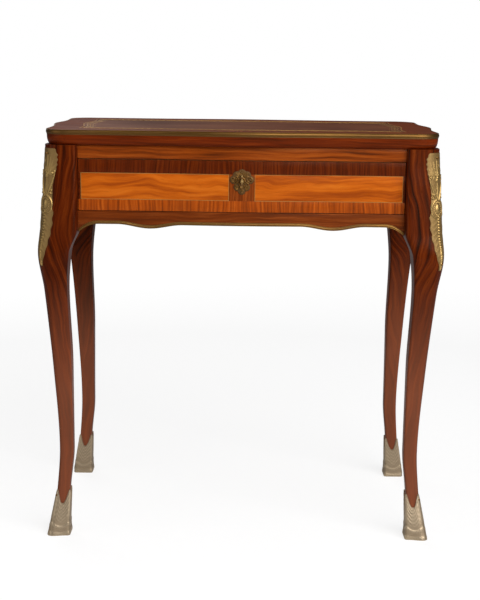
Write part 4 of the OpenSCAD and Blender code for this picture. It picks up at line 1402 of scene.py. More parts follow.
def cut_box(obj: bpy.types.Object, low: tuple, high: tuple) -> bpy.types.Object:
    """Cuts a box out of a closed piece.

    Args:
        obj: the piece.
        low: the box's lowest corner.
        high: its highest corner.

    Returns:
        The same piece, with its new mesh.
    """
    corners = [(x, y, z) for x in (low[0], high[0]) for y in (low[1], high[1]) for z in (low[2], high[2])]
    sides = [(0, 1, 3, 2), (4, 6, 7, 5), (0, 4, 5, 1), (2, 3, 7, 6), (0, 2, 6, 4), (1, 5, 7, 3)]
    chisel = new_object("chisel", np.array(corners), sides)
    cut = obj.modifiers.new("cut", "BOOLEAN")
    cut.operation = "DIFFERENCE"
    cut.solver = "EXACT"
    cut.object = chisel
    graph = bpy.context.evaluated_depsgraph_get()
    mesh = bpy.data.meshes.new_from_object(obj.evaluated_get(graph))
    obj.modifiers.remove(cut)
    whole, obj.data = obj.data, mesh
    mesh.name = whole.name
    for spent in (whole, chisel.data):
        bpy.data.meshes.remove(spent)
    return obj


@dataclass
class Legs(Assembly):
    """The four veneered legs."""

    form: LegForm
    rings: int = 150

    def build(self) -> None:
        """Makes each leg as one smooth sweep."""
        heights = np.linspace(self.form.sole, self.sizes.frame_top - self.sizes.seat, self.rings + 1)
        points = np.stack([self.form.ring(z) for z in heights])
        round_length = np.stack([passed_length(np.concatenate([r, r[:1]]))[:-1] for r in points])
        along = np.broadcast_to(heights[:, None], round_length.shape)
        for k, corner in enumerate(Corner):
            grain = np.stack([along, round_length + 0.31 * k, np.full_like(along, 0.17 * k)], 2)
            patch = Patchwork()
            patch.add(corner.place(points), round_v=True, caps=True, grain=grain)
            node = f"leg_{corner.name.lower()}"
            self.swap(LEG_WOOD.dress(patch.build(f"{node}_veneered")), node)


@dataclass
class Frieze(Assembly):
    """The rails, aprons, veneered sides and back, and the gilt edgings."""

    gap: float = 0.0001
    string_width: float = 0.0009
    edging_height: float = 0.006
    edging_proud: float = 0.0024
    bolt_slot: tuple = (0.021, 0.009, 0.011)

    def build(self) -> None:
        """Makes the rails, the four aprons' faces and edgings."""
        s = self.sizes
        reach = s.stile(Side.FRONT) - self.gap
        face = s.out(Side.FRONT, s.frieze_inset)
        rail = Board(Side.FRONT, -reach, reach, face, face - s.top_rail_depth, s.opening_top,
                     s.frame_top - s.seat, rounding=RAIL_ROUNDING, flat_back=True)
        self.swap(RAIL_WOOD.dress(self.slotted(rail.build("rail_over_drawer"))), "top_rail")
        apron = Board(Side.FRONT, -reach, reach, face, face - s.apron_thickness,
                      lambda p: s.apron_edge(p, Side.FRONT), s.opening_bottom, rounding=RAIL_ROUNDING,
                      offset=1.3, flat_back=True)
        self.swap(APRON_WOOD.dress(apron.build("apron_front", 160)), "apron_rail")
        self.build_side(Side.RIGHT, ("side_veneer_right", "side_panel_right"))
        self.build_side(Side.LEFT, ("side_veneer_left", "side_panel_left"))
        self.build_side(Side.BACK, ("back_veneer", "back_panel"))
        for side in Side:
            self.build_edging(side)

    def slotted(self, rail: bpy.types.Object) -> bpy.types.Object:
        """Cuts the bolt's slot into the rail, and draws the rail's grain on the new faces.

        Args:
            rail: the rail.

        Returns:
            The same rail.
        """
        wide, deep, high = self.bolt_slot
        middle = (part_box("bolt")[0].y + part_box("bolt")[1].y) / 2
        base = self.sizes.opening_top
        below = base - 0.001
        cut_box(rail, (-wide / 2, middle - deep / 2, below), (wide / 2, middle + deep / 2, base + high))
        spots = np.zeros(3 * len(rail.data.vertices), np.float32)
        rail.data.vertices.foreach_get("co", spots)
        x, y, z = spots.reshape(-1, 3).T
        depth = -y - self.sizes.frieze_swell(x, Side.FRONT)
        grain = np.stack([x, z + depth, depth], 1).astype(np.float32)
        rail.data.attributes["grain"].data.foreach_set("vector", grain.ravel())
        return rail

    def build_side(self, side: Side, nodes: tuple) -> None:
        """Veneers a side or the back: a cross-banded frame, a string and a bright panel.

        Args:
            side: which side.
            nodes: the frame's and the panel's nodes.
        """
        s = self.sizes
        name = side.name.lower()
        reach = s.stile(side) - self.gap
        panel = s.stile(side) - s.panel_inset
        face = s.out(side, s.frieze_inset)
        back = face - s.veneer + LIFT
        top = s.frame_top - s.seat
        string = self.string_width
        k = list(Side).index(side)

        def board(part: str, finish: Finish, start: float, end: float, low: float | Callable,
                  high: float, cross: bool, node: str, offset: float) -> None:
            """Makes one strip and puts it in its node's place."""
            strip = Board(side, start, end, face, back, low, high, cross, STRIP_ROUNDING, offset)
            self.swap(finish.dress(strip.build(f"{part}_{name}", 120)), node)

        board("band_over_panel", KINGWOOD, -reach, reach, s.panel_top + string, top, True, nodes[0], 2.1 * k)
        board("band_under_panel", APRON_WOOD, -reach, reach, lambda p: s.apron_edge(p, side),
              s.panel_bottom - string, True, nodes[0], 3.7 * k)
        board("band_before_panel", KINGWOOD, -reach, -panel - string, s.panel_bottom - string + SEAM,
              s.panel_top + string - SEAM, False, nodes[0], 4.9 * k)
        board("band_after_panel", KINGWOOD, panel + string, reach, s.panel_bottom - string + SEAM,
              s.panel_top + string - SEAM, False, nodes[0], 5.3 * k)
        board("string_over_panel", STRING, -panel - string, panel + string, s.panel_top,
              s.panel_top + string, False, nodes[0], 0.4)
        board("string_under_panel", STRING, -panel - string, panel + string, s.panel_bottom - string,
              s.panel_bottom, False, nodes[0], 0.8)
        board("string_before_panel", STRING, -panel - string, -panel, s.panel_bottom, s.panel_top, True,
              nodes[0], 1.2)
        board("string_after_panel", STRING, panel, panel + string, s.panel_bottom, s.panel_top, True,
              nodes[0], 1.6)
        board("panel", TULIPWOOD, -panel + SEAM, panel - SEAM, s.panel_bottom + SEAM,
              s.panel_top - SEAM, False, nodes[1], 6.1 * k)

    def build_edging(self, side: Side) -> None:
        """Makes the gilt edging along an apron: a bead between two fillets.

        Args:
            side: the side it follows.
        """
        s = self.sizes
        name = side.name.lower()
        height = self.edging_height
        rise = self.edging_proud - s.seat - 0.0012
        reach = s.stile(side) - 0.001
        place = np.linspace(-reach, reach, 220)
        low = s.apron_edge(place, side)
        base = s.out(side, s.frieze_inset) + s.seat
        bow = s.frieze_swell(place, side)
        bead = [(0.0012 + rise * math.sin(a), height / 2 - 0.0017 * math.cos(a))
                for a in np.linspace(0, math.pi, 9)]
        section = [(0.0, 0.0), (0.0010, 0.0), (0.0013, 0.0004), (0.0012, 0.0011), *bead,
                   (0.0012, height - 0.0011), (0.0013, height - 0.0004), (0.0010, height), (0.0, height)]
        relief = np.array([0.35 if 0.0008 < z < 0.0014 or height - 0.0014 < z < height - 0.0008 else 1.0
                           for _, z in section])
        rings = np.stack([np.stack([place, -(base + bow + out), low + z], 1) for out, z in section], 1)
        patch = Patchwork()
        patch.add(side.place(rings.reshape(-1, 3)).reshape(rings.shape), round_v=True, caps=True,
                  relief=np.broadcast_to(relief, rings.shape[:2]))
        self.swap(GILT_BRASS.dress(patch.build(f"edging_moulded_{name}")), f"edging_{name}")

    def dress(self) -> None:
        """Gives oak to the rails, runners, guides, kickers and stops."""
        for node in ("side_rail_left", "side_rail_right", "runner_left", "runner_right", "guide_left",
                     "guide_right", "kicker_left", "kicker_right"):
            OAK_Y.dress(kept(node))
        for node in ("back_rail", "drawer_stops"):
            OAK_X.dress(kept(node))


@dataclass
class Drawer(Assembly):
    """The drawer: its veneered front, and its oak box as modelled."""

    body: ClassVar[str] = "drawer"
    string_width: float = 0.0009
    keyhole_half: float = 0.0036
    keyhole_foot: float = 0.0095

    def build(self) -> None:
        """Veneers the drawer front: bands above and below, a strip at the middle, two panels."""
        s = self.sizes
        side = Side.FRONT
        reach = s.stile(side) - s.drawer_gap
        face = s.out(side, s.frieze_inset)
        back = face - s.drawer_veneer + LIFT
        top, low = s.opening_top - s.drawer_gap, s.opening_bottom + s.drawer_gap
        string = self.string_width
        inner = s.centre_strip / 2
        outer = reach - s.panel_end_margin
        frame = "drawer_veneer_frame"

        def board(name: str, finish: Finish, start: float, end: float, z0: float, z1: float,
                  cross: bool, offset: float, node: str = frame) -> None:
            """Makes one strip and puts it in its node's place."""
            strip = Board(side, start, end, face, back, z0, z1, cross, STRIP_ROUNDING, offset)
            self.swap(finish.dress(strip.build(name, 96)), node)

        # The upper band is painted in shade from the top's overhang, the lower band with painted light
        board("band_top_drawer", SHADED_BAND, -reach, reach, s.panel_top + string, top, True, 0.7)
        board("band_bottom_drawer", LIT_BAND, -reach, reach, low, s.panel_bottom - string, True, 1.9)
        for sign, name, node in ((-1, "left", "drawer_panel_left"), (1, "right", "drawer_panel_right")):
            a, b = sorted((sign * (inner + string), sign * (outer - string)))
            board(f"panel_{name}_drawer", TULIPWOOD, a + SEAM, b - SEAM, s.panel_bottom + SEAM,
                  s.panel_top - SEAM, False, 2.3 * sign, node)
            a, b = sorted((sign * outer, sign * reach))
            board(f"band_end_{name}_drawer", SHADED_BAND, a, b, s.panel_bottom - string + SEAM,
                  s.panel_top + string - SEAM, False, 0.9 * sign)
            a, b = sorted((sign * inner, sign * outer))
            board(f"string_over_{name}_drawer", STRING, a, b, s.panel_top, s.panel_top + string, False, 0.2)
            board(f"string_under_{name}_drawer", STRING, a, b, s.panel_bottom - string, s.panel_bottom,
                  False, 0.5)
            for where, tag in ((inner, "in"), (outer - string, "out")):
                a, b = sorted((sign * where, sign * (where + string)))
                board(f"string_{tag}_{name}_drawer", STRING, a, b, s.panel_bottom, s.panel_top, True, 1.1)
        key_z = s.opening_top - s.keyhole_drop
        hole = self.keyhole_half
        z0, z1 = s.panel_bottom - string + SEAM, s.panel_top + string - SEAM
        board("strip_left_drawer", CENTRE_WOOD, -inner, -hole, z0, z1, True, 3.1)
        board("strip_right_drawer", CENTRE_WOOD, hole, inner, z0, z1, True, 3.1)
        board("strip_over_drawer", CENTRE_WOOD, -hole, hole, key_z + hole, z1, True, 3.1)
        board("strip_under_drawer", CENTRE_WOOD, -hole, hole, z0, key_z - self.keyhole_foot, True, 3.1)

    def dress(self) -> None:
        """Gives oak to the box and to the core of its front, and steel to the bottom's screws."""
        for node in ("drawer_side_left", "drawer_side_right", "drawer_bottom"):
            OAK_Y.dress(kept(node))
        for node in ("drawer_back", "drawer_front"):
            OAK_X.dress(kept(node))
        STEEL.dress(kept("bottom_screws"))


# Castings

class Relief:
    """A height field of strokes, leaves and beads, drawn in millimetres of (across, up)."""

    def __init__(self, across: np.ndarray, up: np.ndarray, ground: float) -> None:
        """Starts on a flat ground.

        Args:
            across: each point's distance from the middle.
            up: each point's height in the drawing.
            ground: height of the ground.
        """
        self.across = across
        self.up = up
        self.height = np.full_like(across, ground)

    def raise_to(self, height: np.ndarray) -> None:
        """Raises the field to a height wherever that stands higher."""
        self.height = np.maximum(self.height, height)

    def stroke(self, points: list, width: float, height: float, taper: float = 0.3) -> None:
        """Lays a rounded rib along a smooth run of points.

        Args:
            points: the run, as (across, up).
            width: half of the rib's width at its start.
            height: its height at its start.
            taper: what share of both is left at its end.
        """
        run = smooth_run(points)
        share = np.linspace(1.0, taper, len(run))
        for (x, y), left in zip(run, share):
            distance = np.hypot(self.across - x, self.up - y) / (width * left)
            crown = height * (0.55 + 0.45 * left) * np.sqrt(np.clip(1 - distance ** 2, 0, 1))
            self.raise_to(np.where(distance < 1, crown, 0))

    def bead(self, x: float, y: float, rx: float, ry: float, height: float) -> None:
        """Lays an oval boss."""
        distance = np.hypot((self.across - x) / rx, (self.up - y) / ry)
        self.raise_to(np.where(distance < 1, height * np.sqrt(np.clip(1 - distance ** 2, 0, 1)), 0))

    def leaf(self, base: tuple, tip: tuple, width: float, height: float, bend: float = 0.0) -> None:
        """Lays a leaf with a raised vein and rolled edges, from its base to its tip.

        Args:
            base: where it starts, as (across, up).
            tip: where it ends.
            width: half of its width.
            height: its height.
            bend: how far it bends aside.
        """
        bx, by = base
        dx, dy = tip[0] - bx, tip[1] - by
        length = math.hypot(dx, dy)
        ux, uy = dx / length, dy / length
        along = ((self.across - bx) * ux + (self.up - by) * uy) / length
        side = -(self.across - bx) * uy + (self.up - by) * ux - bend * np.sin(np.pi * np.clip(along, 0, 1))
        half = width * np.sin(np.pi * np.clip(along, 0, 1) ** 0.75) ** 0.8 + 1e-6
        u = np.abs(side) / half
        inside = (along > 0) & (along < 1) & (u < 1)
        body = height * (0.5 + 0.3 * u ** 2 + 0.4 * np.exp(-(u / 0.16) ** 2)) * (1 - 0.35 * along)
        rim = np.sqrt(np.clip(1 - u ** 6, 0, 1))
        self.raise_to(np.where(inside, body * rim, 0))


def smooth_run(points: list, steps: int = 12) -> np.ndarray:
    """A smooth run through points, by Catmull and Rom's rule.

    Args:
        points: the points, at least two.
        steps: steps between each two.

    Returns:
        The run's points.
    """
    p = np.array(points, float)
    p = np.concatenate([2 * p[:1] - p[1:2], p, 2 * p[-1:] - p[-2:-1]])
    run = []
    for a, b, c, d in zip(p[:-3], p[1:-2], p[2:-1], p[3:]):
        t = np.linspace(0, 1, steps, endpoint=False)[:, None]
        run.append(0.5 * ((2 * b) + (c - a) * t + (2 * a - 5 * b + 4 * c - d) * t ** 2
                          + (3 * b - a - 3 * c + d) * t ** 3))
    return np.concatenate(run + [p[-2:-1]])


def scroll(x: float, y: float, radius: float, start: float, turns: float, way: int = 1) -> list:
    """Points of a scroll that winds in, as (across, up).

    Args:
        x: its middle, across.
        y: its middle, up.
        radius: its radius where it starts.
        start: the angle in degrees where it starts.
        turns: how many turns it winds.
        way: 1 to wind counter-clockwise, -1 to wind clockwise.

    Returns:
        The points.
    """
    points = []
    count = int(abs(turns) * 14) + 2
    for k in range(count):
        t = k / (count - 1)
        angle = math.radians(start) + way * turns * 2 * math.pi * t
        r = radius * (1 - 0.82 * t)
        points.append((x + r * math.cos(angle), y + r * math.sin(angle)))
    return points


@dataclass
class KneeMounts(Assembly):
    """The cast mounts on the knees: a shell, a ribboned boss and a long hanging leaf."""

    form: LegForm
    drop: float = 0.006
    tail: float = 0.024
    thickness: float = 0.0036
    edge: float = 0.0008
    across_steps: int = 60
    up_steps: int = 260

    def half_width(self, share: np.ndarray) -> np.ndarray:
        """Half of the mount's width at a share of its length, its leaf-like lobes included.

        Args:
            share: shares of the length, 0 at the tail.

        Returns:
            Half of the width at each, in metres.
        """
        rows = Rows(((0, 0.003), (0.16, 0.013), (0.42, 0.019), (0.66, 0.014), (0.9, 0.021), (1, 0.020)))
        smooth = rows.at(share)
        lobes = 1 - 0.11 * (0.5 - 0.5 * np.cos(2 * np.pi * share * 11)) * np.clip((0.62 - share) * 8, 0, 1)
        ribs = 0.5 - 0.5 * np.cos(2 * np.pi * (share - 0.78) * 24)
        fan = 1 - 0.08 * ribs * np.clip((share - 0.76) * 9, 0, 1)
        top = np.sqrt(np.clip((1.004 - share) / 0.055, 0, 1)) * 0.35 + 0.65
        return smooth * lobes * fan * np.where(share > 0.945, top, 1)

    def draw(self, relief: Relief) -> None:
        """Draws the casting, its long leaf hanging from y = 0 up to its shell at y = 211.

        Args:
            relief: the field to draw in.
        """
        high = 3.4
        for y in np.arange(8, 96, 9.5):
            spread = 2.2 + 11.0 * math.sin(math.pi * min(y / 130, 1)) ** 0.8
            for sign in (-1, 1):
                relief.leaf((0, y + 9), (sign * spread * 1.25, y - 3), 3.0, 0.62 * high, sign * -1.2)
        relief.stroke([(0, 2), (0, 40), (0, 98)], 2.2, 0.95 * high, 1.0)
        relief.bead(0, 112, 6.2, 9.0, high)
        for k in range(18):
            a = 2 * math.pi * k / 18
            relief.bead(8.6 * math.cos(a), 112 + 11.6 * math.sin(a), 1.25, 1.25, 0.8 * high)
        for sign in (-1, 1):
            relief.stroke([(sign * 3, 128), (sign * 9, 124), (sign * 14.5, 115), (sign * 14.5, 104),
                           (sign * 9, 97), (sign * 3, 96)], 2.0, 0.9 * high, 0.7)
            relief.stroke(scroll(sign * 12.0, 133, 5.0, 90 + sign * 90, 1.2, -sign), 1.5, 0.95 * high, 0.6)
            relief.stroke([(sign * 4, 128), (sign * 9, 140), (sign * 13, 152), (sign * 17, 163)], 1.9,
                          0.85 * high, 0.8)
            relief.stroke(scroll(sign * 14.5, 168, 4.6, -90, 1.25, sign), 1.5, 0.95 * high, 0.6)
            relief.leaf((sign * 2, 134), (sign * 11, 158), 3.2, 0.6 * high, sign * 1.6)
        relief.leaf((0, 128), (0, 162), 4.2, 0.85 * high)
        for k in range(-4, 5):
            angle = math.radians(90 - 19 * k)
            length = 40 - 1.1 * abs(k) ** 1.6
            tip = (length * math.cos(angle) * 0.62, 164 + length * math.sin(angle) * 1.03)
            relief.leaf((0.6 * k, 160 + 1.5 * abs(k)), tip, 3.4, 0.8 * high, -0.5 * k)
        relief.bead(0, 163, 4.0, 4.0, 0.95 * high)

    def build(self) -> None:
        """Makes the four mounts as closed castings."""
        low = self.form.knee_height - self.tail
        high = self.sizes.frame_top - self.drop
        share = np.linspace(0, 1, self.up_steps + 1)
        crowding = math.pi / 2 * 0.96
        u = np.sin(np.linspace(-1, 1, self.across_steps + 1) * crowding) / math.sin(crowding)
        half = self.half_width(share)
        across = half[:, None] * u[None, :]
        up = np.broadcast_to(share[:, None] * (high - low), across.shape)
        relief = Relief(across / MM, up / MM, 0.9)
        self.draw(relief)
        rim = np.sqrt(np.clip(1 - np.abs(u) ** 8, 0, 1))[None, :] * 0.75 + 0.25
        ends = np.clip(np.minimum(share, 1 - share) * 60 + 0.35, 0, 1)[:, None]
        height = np.clip(relief.height * MM * rim * ends, self.edge * 0.6, self.thickness)
        rings, tones = [], []
        for k, s in enumerate(share):
            z = low + s * (high - low)
            front = self.form.arris_point(z, across[k], self.sizes.seat + height[k])
            back = self.form.arris_point(z, across[k][::-1], np.full(len(u), self.sizes.seat))
            rings.append(np.concatenate([front, back]))
            tones.append(np.concatenate([height[k] / self.thickness, np.zeros(len(u))]))
        points, tone = np.stack(rings), np.stack(tones)
        for corner in Corner:
            patch = Patchwork()
            patch.add(corner.place(points), round_v=True, relief=tone)
            count = len(u)
            for row, flip in ((0, False), (len(share) - 1, True)):
                for j in range(count - 1):
                    first = row * 2 * count
                    face = [first + j, first + j + 1, first + 2 * count - 2 - j, first + 2 * count - 1 - j]
                    patch.faces.append(face[::-1] if flip else face)
            node = f"knee_mount_{corner.name.lower()}"
            self.swap(GILT_BRONZE.dress(patch.build(f"{node}_cast", CASTING_CREASE)), node)

    def dress(self) -> None:
        """Gives the pins the mounts' gilding."""
        GILT_BRASS.dress(kept("mount_pins"))


@dataclass
class Shoes(Assembly):
    """The cast shoes: a rising leaf on each arris, a beaded collar and a curled toe."""

    form: LegForm
    toe_reach: float = 0.007
    lining: float = 0.00035
    relief_depth: float = 0.0011
    levels: int = 56
    lining_levels: int = 12
    rows: Rows = Rows(((0, 0.0045, 1.0), (0.0116, 0.0052, 0.9), (0.32, 0.0036, 0.35), (0.65, 0.0029, 0.0857),
                       (1.0, 0.0021, 0.0)))

    def ring(self, share: np.ndarray, extra: np.ndarray, inside: bool) -> np.ndarray:
        """A ring of the shoe whose height varies round it.

        Args:
            share: share of the shoe's height at each point of the ring.
            extra: the relief at each point.
            inside: whether the ring lines the inside of the shoe.

        Returns:
            The ring's points.
        """
        points = []
        for k, s in enumerate(share):
            z = s * self.form.shoe_height
            points.append(self.ring_at(z, s, float(extra[k]), inside)[k])
        return np.array(points)

    def ring_at(self, z: float, s: float, extra: float, inside: bool) -> np.ndarray:
        """All points of a level ring, at a height, a share of the shoe's height and a relief.

        Args:
            z: the height.
            s: the share of the shoe's height.
            extra: the relief.
            inside: whether the ring lines the inside.

        Returns:
            The ring's points.
        """
        grow = self.lining if inside else float(self.rows.at(s, 1)) * 0.8 + extra
        ring = self.form.ring(max(z, 0.0), grow)
        if inside:
            return ring
        middle = (self.form.outer(z) + self.form.inner(z)) / 2
        centre = np.array([self.sizes.half_width + middle,
                           self.sizes.half_depth + middle - self.form.tuck(z)])
        d = ring[:, :2] - centre
        along = np.maximum((d[:, 0] + d[:, 1]) / math.sqrt(2) / np.linalg.norm(d, axis=1), 0)
        push = self.toe_reach * float(self.rows.at(s, 2)) * along ** 2 * 0.7
        ring[:, :2] += push[:, None]
        return ring

    def build(self) -> None:
        """Makes the four shoes as closed castings."""
        ring = self.form.ring(0.04)
        count = len(ring)
        length = passed_length(np.concatenate([ring, ring[:1]]))
        turn = length[:-1] / length[-1]
        toe = turn[self.form.arris_steps + self.form.flat_steps + self.form.arris_steps // 2]
        phase = (turn - toe) * 4
        lobe = 0.5 + 0.5 * np.cos(2 * np.pi * phase)
        top = 0.70 + 0.30 * lobe ** 1.5
        rings, tones = [], []
        for v in np.linspace(0, 1, self.levels):
            share = v * top
            rib = np.exp(-((((phase + 0.5) % 1) - 0.5) / 0.07) ** 2)
            veins = 0.5 + 0.5 * np.cos(2 * np.pi * (6 * (((phase + 0.5) % 1) - 0.5) ** 2 * 4 - 9 * v))
            leafy = np.clip((v - 0.34) * 6, 0, 1)
            base = np.clip((0.12 - v) * 14, 0, 1)
            collar = np.exp(-((v - 0.27) / 0.035) ** 2)
            beads = 0.5 + 0.5 * np.cos(2 * np.pi * turn * 28)
            edge = np.clip((1 - v) * 14, 0, 1)
            tone = (0.25 + 0.6 * leafy * np.maximum(rib, 0.55 * veins) + 0.6 * base
                    + 0.55 * collar * (0.5 + 0.5 * beads)) * (0.3 + 0.7 * edge)
            tone = np.clip(tone, 0, 1)
            rings.append(self.ring(share, tone * self.relief_depth, False))
            tones.append(tone)
        for v in np.linspace(1, 0, self.lining_levels):
            share = np.maximum(v * top, (self.form.sole - self.sizes.seat) / self.form.shoe_height)
            rings.append(self.ring(share, np.zeros(count), True))
            tones.append(np.zeros(count))
        points, tone = np.stack(rings), np.stack(tones)
        for corner in Corner:
            patch = Patchwork()
            patch.add(corner.place(points), round_v=True, caps=True, relief=tone)
            node = f"shoe_{corner.name.lower()}"
            self.swap(SHOE_GILT.dress(patch.build(f"{node}_cast", CASTING_CREASE)), node)


@dataclass
class Hardware(Assembly):
    """The keyhole plate, the lock, the key and the screws."""

    body: ClassVar[str] = "drawer"
    plate_width: float = 0.044
    plate_thickness: float = 0.0025
    shank: float = 0.0023
    bit: float = 0.0085
    bit_half: float = 0.0015
    slack: float = 0.0006
    directions: int = 216
    rings: int = 26

    def edge(self, angle: np.ndarray) -> np.ndarray:
        """Distance of the plate's edge from the keyhole, by direction: a lobed cartouche.

        Args:
            angle: directions from the keyhole.

        Returns:
            The distance in each.
        """
        w = self.plate_width
        lobes = [(0, 0, 0.31), (0, 0.30, 0.187), (0.33, 0.06, 0.17), (-0.33, 0.06, 0.17), (0.2, 0.24, 0.17),
                 (-0.2, 0.24, 0.17), (0.17, -0.24, 0.17), (-0.17, -0.24, 0.17), (0, -0.40, 0.153)]
        reach = np.zeros_like(angle)
        for x, y, r in lobes:
            along = x * np.cos(angle) + y * np.sin(angle)
            aside = np.abs(-x * np.sin(angle) + y * np.cos(angle))
            hit = np.where(aside < r, along + np.sqrt(np.clip(r * r - aside * aside, 0, None)), 0)
            reach = np.maximum(reach, hit)
        return reach * w

    def hole(self, angle: np.ndarray) -> np.ndarray:
        """Distance of the keyhole's edge from the shank's middle, by direction.

        Args:
            angle: directions from the shank.

        Returns:
            The distance in each.
        """
        round_part = np.full_like(angle, self.shank + self.slack)
        half, deep = self.bit_half, self.bit + self.slack
        cos, sin = np.cos(angle), np.sin(angle)
        with np.errstate(divide="ignore"):
            slot = np.minimum(half / np.maximum(np.abs(cos), 1e-9), deep / np.maximum(-sin, 1e-9))
        return np.maximum(round_part, np.where(sin < 0, slot, 0))

    def build(self) -> None:
        """Makes the plate with its relief and its keyhole."""
        s = self.sizes
        key_z = s.opening_top - s.keyhole_drop
        back = s.out(Side.FRONT, s.frieze_inset) + s.frieze_bow + s.seat
        angle = np.linspace(0, 2 * np.pi, self.directions, endpoint=False)
        share = np.linspace(0, 1, self.rings)
        inner, outer = self.hole(angle), self.edge(angle) * 0.995
        radius = inner[:, None] + (outer - inner)[:, None] * share[None, :]
        x, z = radius * np.cos(angle)[:, None], radius * np.sin(angle)[:, None]
        relief = Relief(x / MM, z / MM, 0.8)
        self.draw(relief)
        rim = np.clip(np.minimum(1 - share, share + 0.03) * 14 + 0.25, 0, 1)[None, :]
        height = np.clip(relief.height * MM * rim, 0.0005, self.plate_thickness)
        front = np.stack([x, -(back + height), z + key_z], 2)
        behind = np.stack([x, np.full_like(x, -back), z + key_z], 2)[:, ::-1]
        tone = np.concatenate([height / self.plate_thickness, np.zeros_like(height)], 1)
        patch = Patchwork()
        patch.add(np.concatenate([front, behind], 1), round_u=True, round_v=True, relief=tone)
        self.swap(PLATE_GILT.dress(patch.build("keyhole_cartouche", CASTING_CREASE)), "keyhole_plate")

    def draw(self, relief: Relief) -> None:
        """Draws the plate: a raised ring round the keyhole, scrolls, leaves and a shell.

        Args:
            relief: the field to draw in.
        """
        high = 2.4
        relief.stroke([(0, 5.6), (3.9, 4.4), (5.4, 0), (4.6, -6), (2.9, -11), (0, -12.6), (-2.9, -11),
                       (-4.6, -6), (-5.4, 0), (-3.9, 4.4), (0, 5.6)], 1.3, 0.85 * high, 1.0)
        for sign in (-1, 1):
            relief.stroke(scroll(sign * 14.6, 3, 5.4, 90 - sign * 90 + 200, 1.3, sign), 1.6, high, 0.6)
            relief.stroke([(sign * 8, -2), (sign * 11, -5), (sign * 11, -10), (sign * 7.5, -14)], 1.6,
                          0.95 * high, 0.7)
            relief.stroke(scroll(sign * 7.6, -11.4, 4.0, -90, 1.1, sign), 1.3, 0.9 * high, 0.6)
            relief.leaf((sign * 5, 7), (sign * 12.5, 16), 3.0, 0.9 * high, sign)
            relief.stroke([(sign * 6, 4), (sign * 9, 8), (sign * 12, 8)], 1.3, 0.8 * high, 0.6)
        for k in range(-2, 3):
            relief.leaf((0.7 * k, 8), (3.4 * k, 19.5 - 1.1 * abs(k)), 2.0, 0.9 * high)
        relief.leaf((0, -13), (0, -23.5), 3.2, 0.95 * high)
        relief.bead(0, 8.2, 2.0, 2.0, high)

    def dress(self) -> None:
        """Gives metals to the lock, bolt, key, pins and screws."""
        for node in ("lock_case", "key"):
            LOCK_BRASS.dress(kept(node))
        for node in ("bolt", "lock_screws", "top_screws"):
            STEEL.dress(kept(node))
        PLATE_GILT_PLAIN.dress(kept("plate_pins"))


# Studio

WHITE = (1.0, 1.0, 1.0)


@dataclass(frozen=True)
class Lamp:
    """A soft rectangular light aimed at a point.

    Args:
        name: The light's name.
        place: Where it hangs, in metres.
        target: The point it faces.
        size: Its width and its depth.
        power: Its power in watts.
    """

    name: str
    place: tuple
    target: tuple
    size: tuple
    power: float

    def build(self) -> None:
        """Adds the light to the scene."""
        light = bpy.data.lights.new(self.name, "AREA")
        light.shape = "RECTANGLE"
        light.size, light.size_y = self.size
        light.energy = self.power
        obj = bpy.data.objects.new(self.name, light)
        obj.location = self.place
        obj.rotation_euler = (Vector(self.target) - Vector(self.place)).to_track_quat("-Z", "Y").to_euler()
        bpy.context.scene.collection.objects.link(obj)


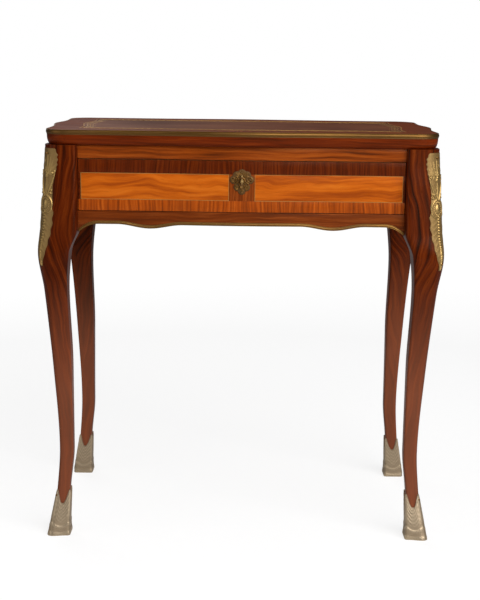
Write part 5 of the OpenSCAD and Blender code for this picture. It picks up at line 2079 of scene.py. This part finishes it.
@dataclass(frozen=True)
class Studio:
    """A pale floor that runs on into a white backdrop, soft lights and the photo's camera."""

    lamps: tuple = (Lamp("key_light", (1.6, -2.5, 2.2), (0.0, 0.0, 0.5), (3.2, 3.0), 128.0),
                    Lamp("fill_light", (-2.4, -1.4, 1.3), (0.0, 0.0, 0.45), (2.0, 2.0), 12.0),
                    Lamp("top_light", (0.0, -0.4, 3.0), (0.0, 0.0, 0.7), (2.4, 1.6), 13.0),
                    Lamp("back_light", (-1.3, 2.4, 2.7), (0.0, 0.0, 0.5), (2.4, 1.6), 28.0))
    world_light: float = 0.09
    floor_glow: float = 1.58
    floor_share: float = 0.5
    floor_half: float = 30.0
    floor_near: float = 1.6
    floor_far: float = 4.5
    camera_place: tuple = (0.0, -2.5255, 0.903)
    camera_pitch: float = 10.9
    camera_yaw: float = 0.155
    camera_roll: float = -0.72
    lens: float = 78.0
    sensor: float = 36.0
    view_end: float = 100.0

    def build(self) -> None:
        """Makes the floor, the lights, the world and the camera."""
        self.build_floor()
        self.build_world()
        for lamp in self.lamps:
            lamp.build()
        self.build_camera()

    def build_floor(self) -> None:
        """Makes the floor, which the camera sees as white but for its shadow."""
        half = self.floor_half
        mesh = bpy.data.meshes.new("studio_floor")
        mesh.from_pydata([(-half, -half, 0), (half, -half, 0), (half, half, 0), (-half, half, 0)], [],
                         [(0, 1, 2, 3)])
        floor = bpy.data.objects.new("studio_floor", mesh)
        bpy.context.scene.collection.objects.link(floor)
        material = bpy.data.materials.new("studio paper")
        material.use_nodes = True
        nodes = Nodes(material.node_tree)
        place = nodes.place()
        paper = nodes.ramp(nodes.noise(place, 60.0, 4.0),
                           [(0.3, rgba(WHITE, 0.50)), (0.7, rgba(WHITE, 0.54))])
        shader = nodes.add("ShaderNodeBsdfPrincipled", Base_Color=paper, Roughness=0.75)
        distance = nodes.add("ShaderNodeVectorMath", operation="LENGTH", Vector=place).outputs["Value"]
        near = nodes.span(distance, self.floor_far, self.floor_near)
        bright = nodes.mix(near, rgba(WHITE), rgba(WHITE, self.floor_glow))
        glow = nodes.add("ShaderNodeEmission", Color=bright)
        seen = nodes.add("ShaderNodeLightPath").outputs["Is Camera Ray"]
        share = nodes.times(seen, nodes.span(near, 0, 1, 1.0, self.floor_share))
        nodes.add("ShaderNodeOutputMaterial",
                  Surface=nodes.blend(share, shader.outputs[0], glow.outputs[0]))
        mesh.materials.append(material)

    def build_world(self) -> None:
        """Makes a backdrop that the camera sees as white, and that lights the rest softly."""
        world = bpy.data.worlds.new("studio")
        world.use_nodes = True
        bpy.context.scene.world = world
        nodes = Nodes(world.node_tree)
        soft = nodes.add("ShaderNodeBackground", Color=rgba(WHITE), Strength=self.world_light)
        white = nodes.add("ShaderNodeBackground", Color=rgba(WHITE), Strength=1.0)
        seen = nodes.add("ShaderNodeLightPath").outputs["Is Camera Ray"]
        nodes.add("ShaderNodeOutputWorld", Surface=nodes.blend(seen, soft.outputs[0], white.outputs[0]))

    def build_camera(self) -> None:
        """Makes the camera that stood where the photo's did."""
        data = bpy.data.cameras.new("photo_camera")
        data.lens = self.lens
        data.sensor_width = self.sensor
        data.clip_end = self.view_end
        camera = bpy.data.objects.new("photo_camera", data)
        camera.location = self.camera_place
        camera.rotation_euler = (math.radians(90 - self.camera_pitch), math.radians(self.camera_roll),
                                 math.radians(self.camera_yaw))
        bpy.context.scene.collection.objects.link(camera)
        bpy.context.scene.camera = camera
        bpy.context.scene.view_settings.view_transform = "Standard"


def main() -> None:
    """Builds the table's dress and the studio."""
    logging.basicConfig(level=logging.INFO, format="%(name)s: %(message)s")
    form = LegForm(SIZES)
    table = [Top(SIZES), Legs(SIZES, form), Frieze(SIZES), Drawer(SIZES), KneeMounts(SIZES, form),
             Shoes(SIZES, form), Hardware(SIZES)]
    for group in table:
        group.build()
        group.dress()
    Studio().build()


if __name__ == "__main__":
    main()
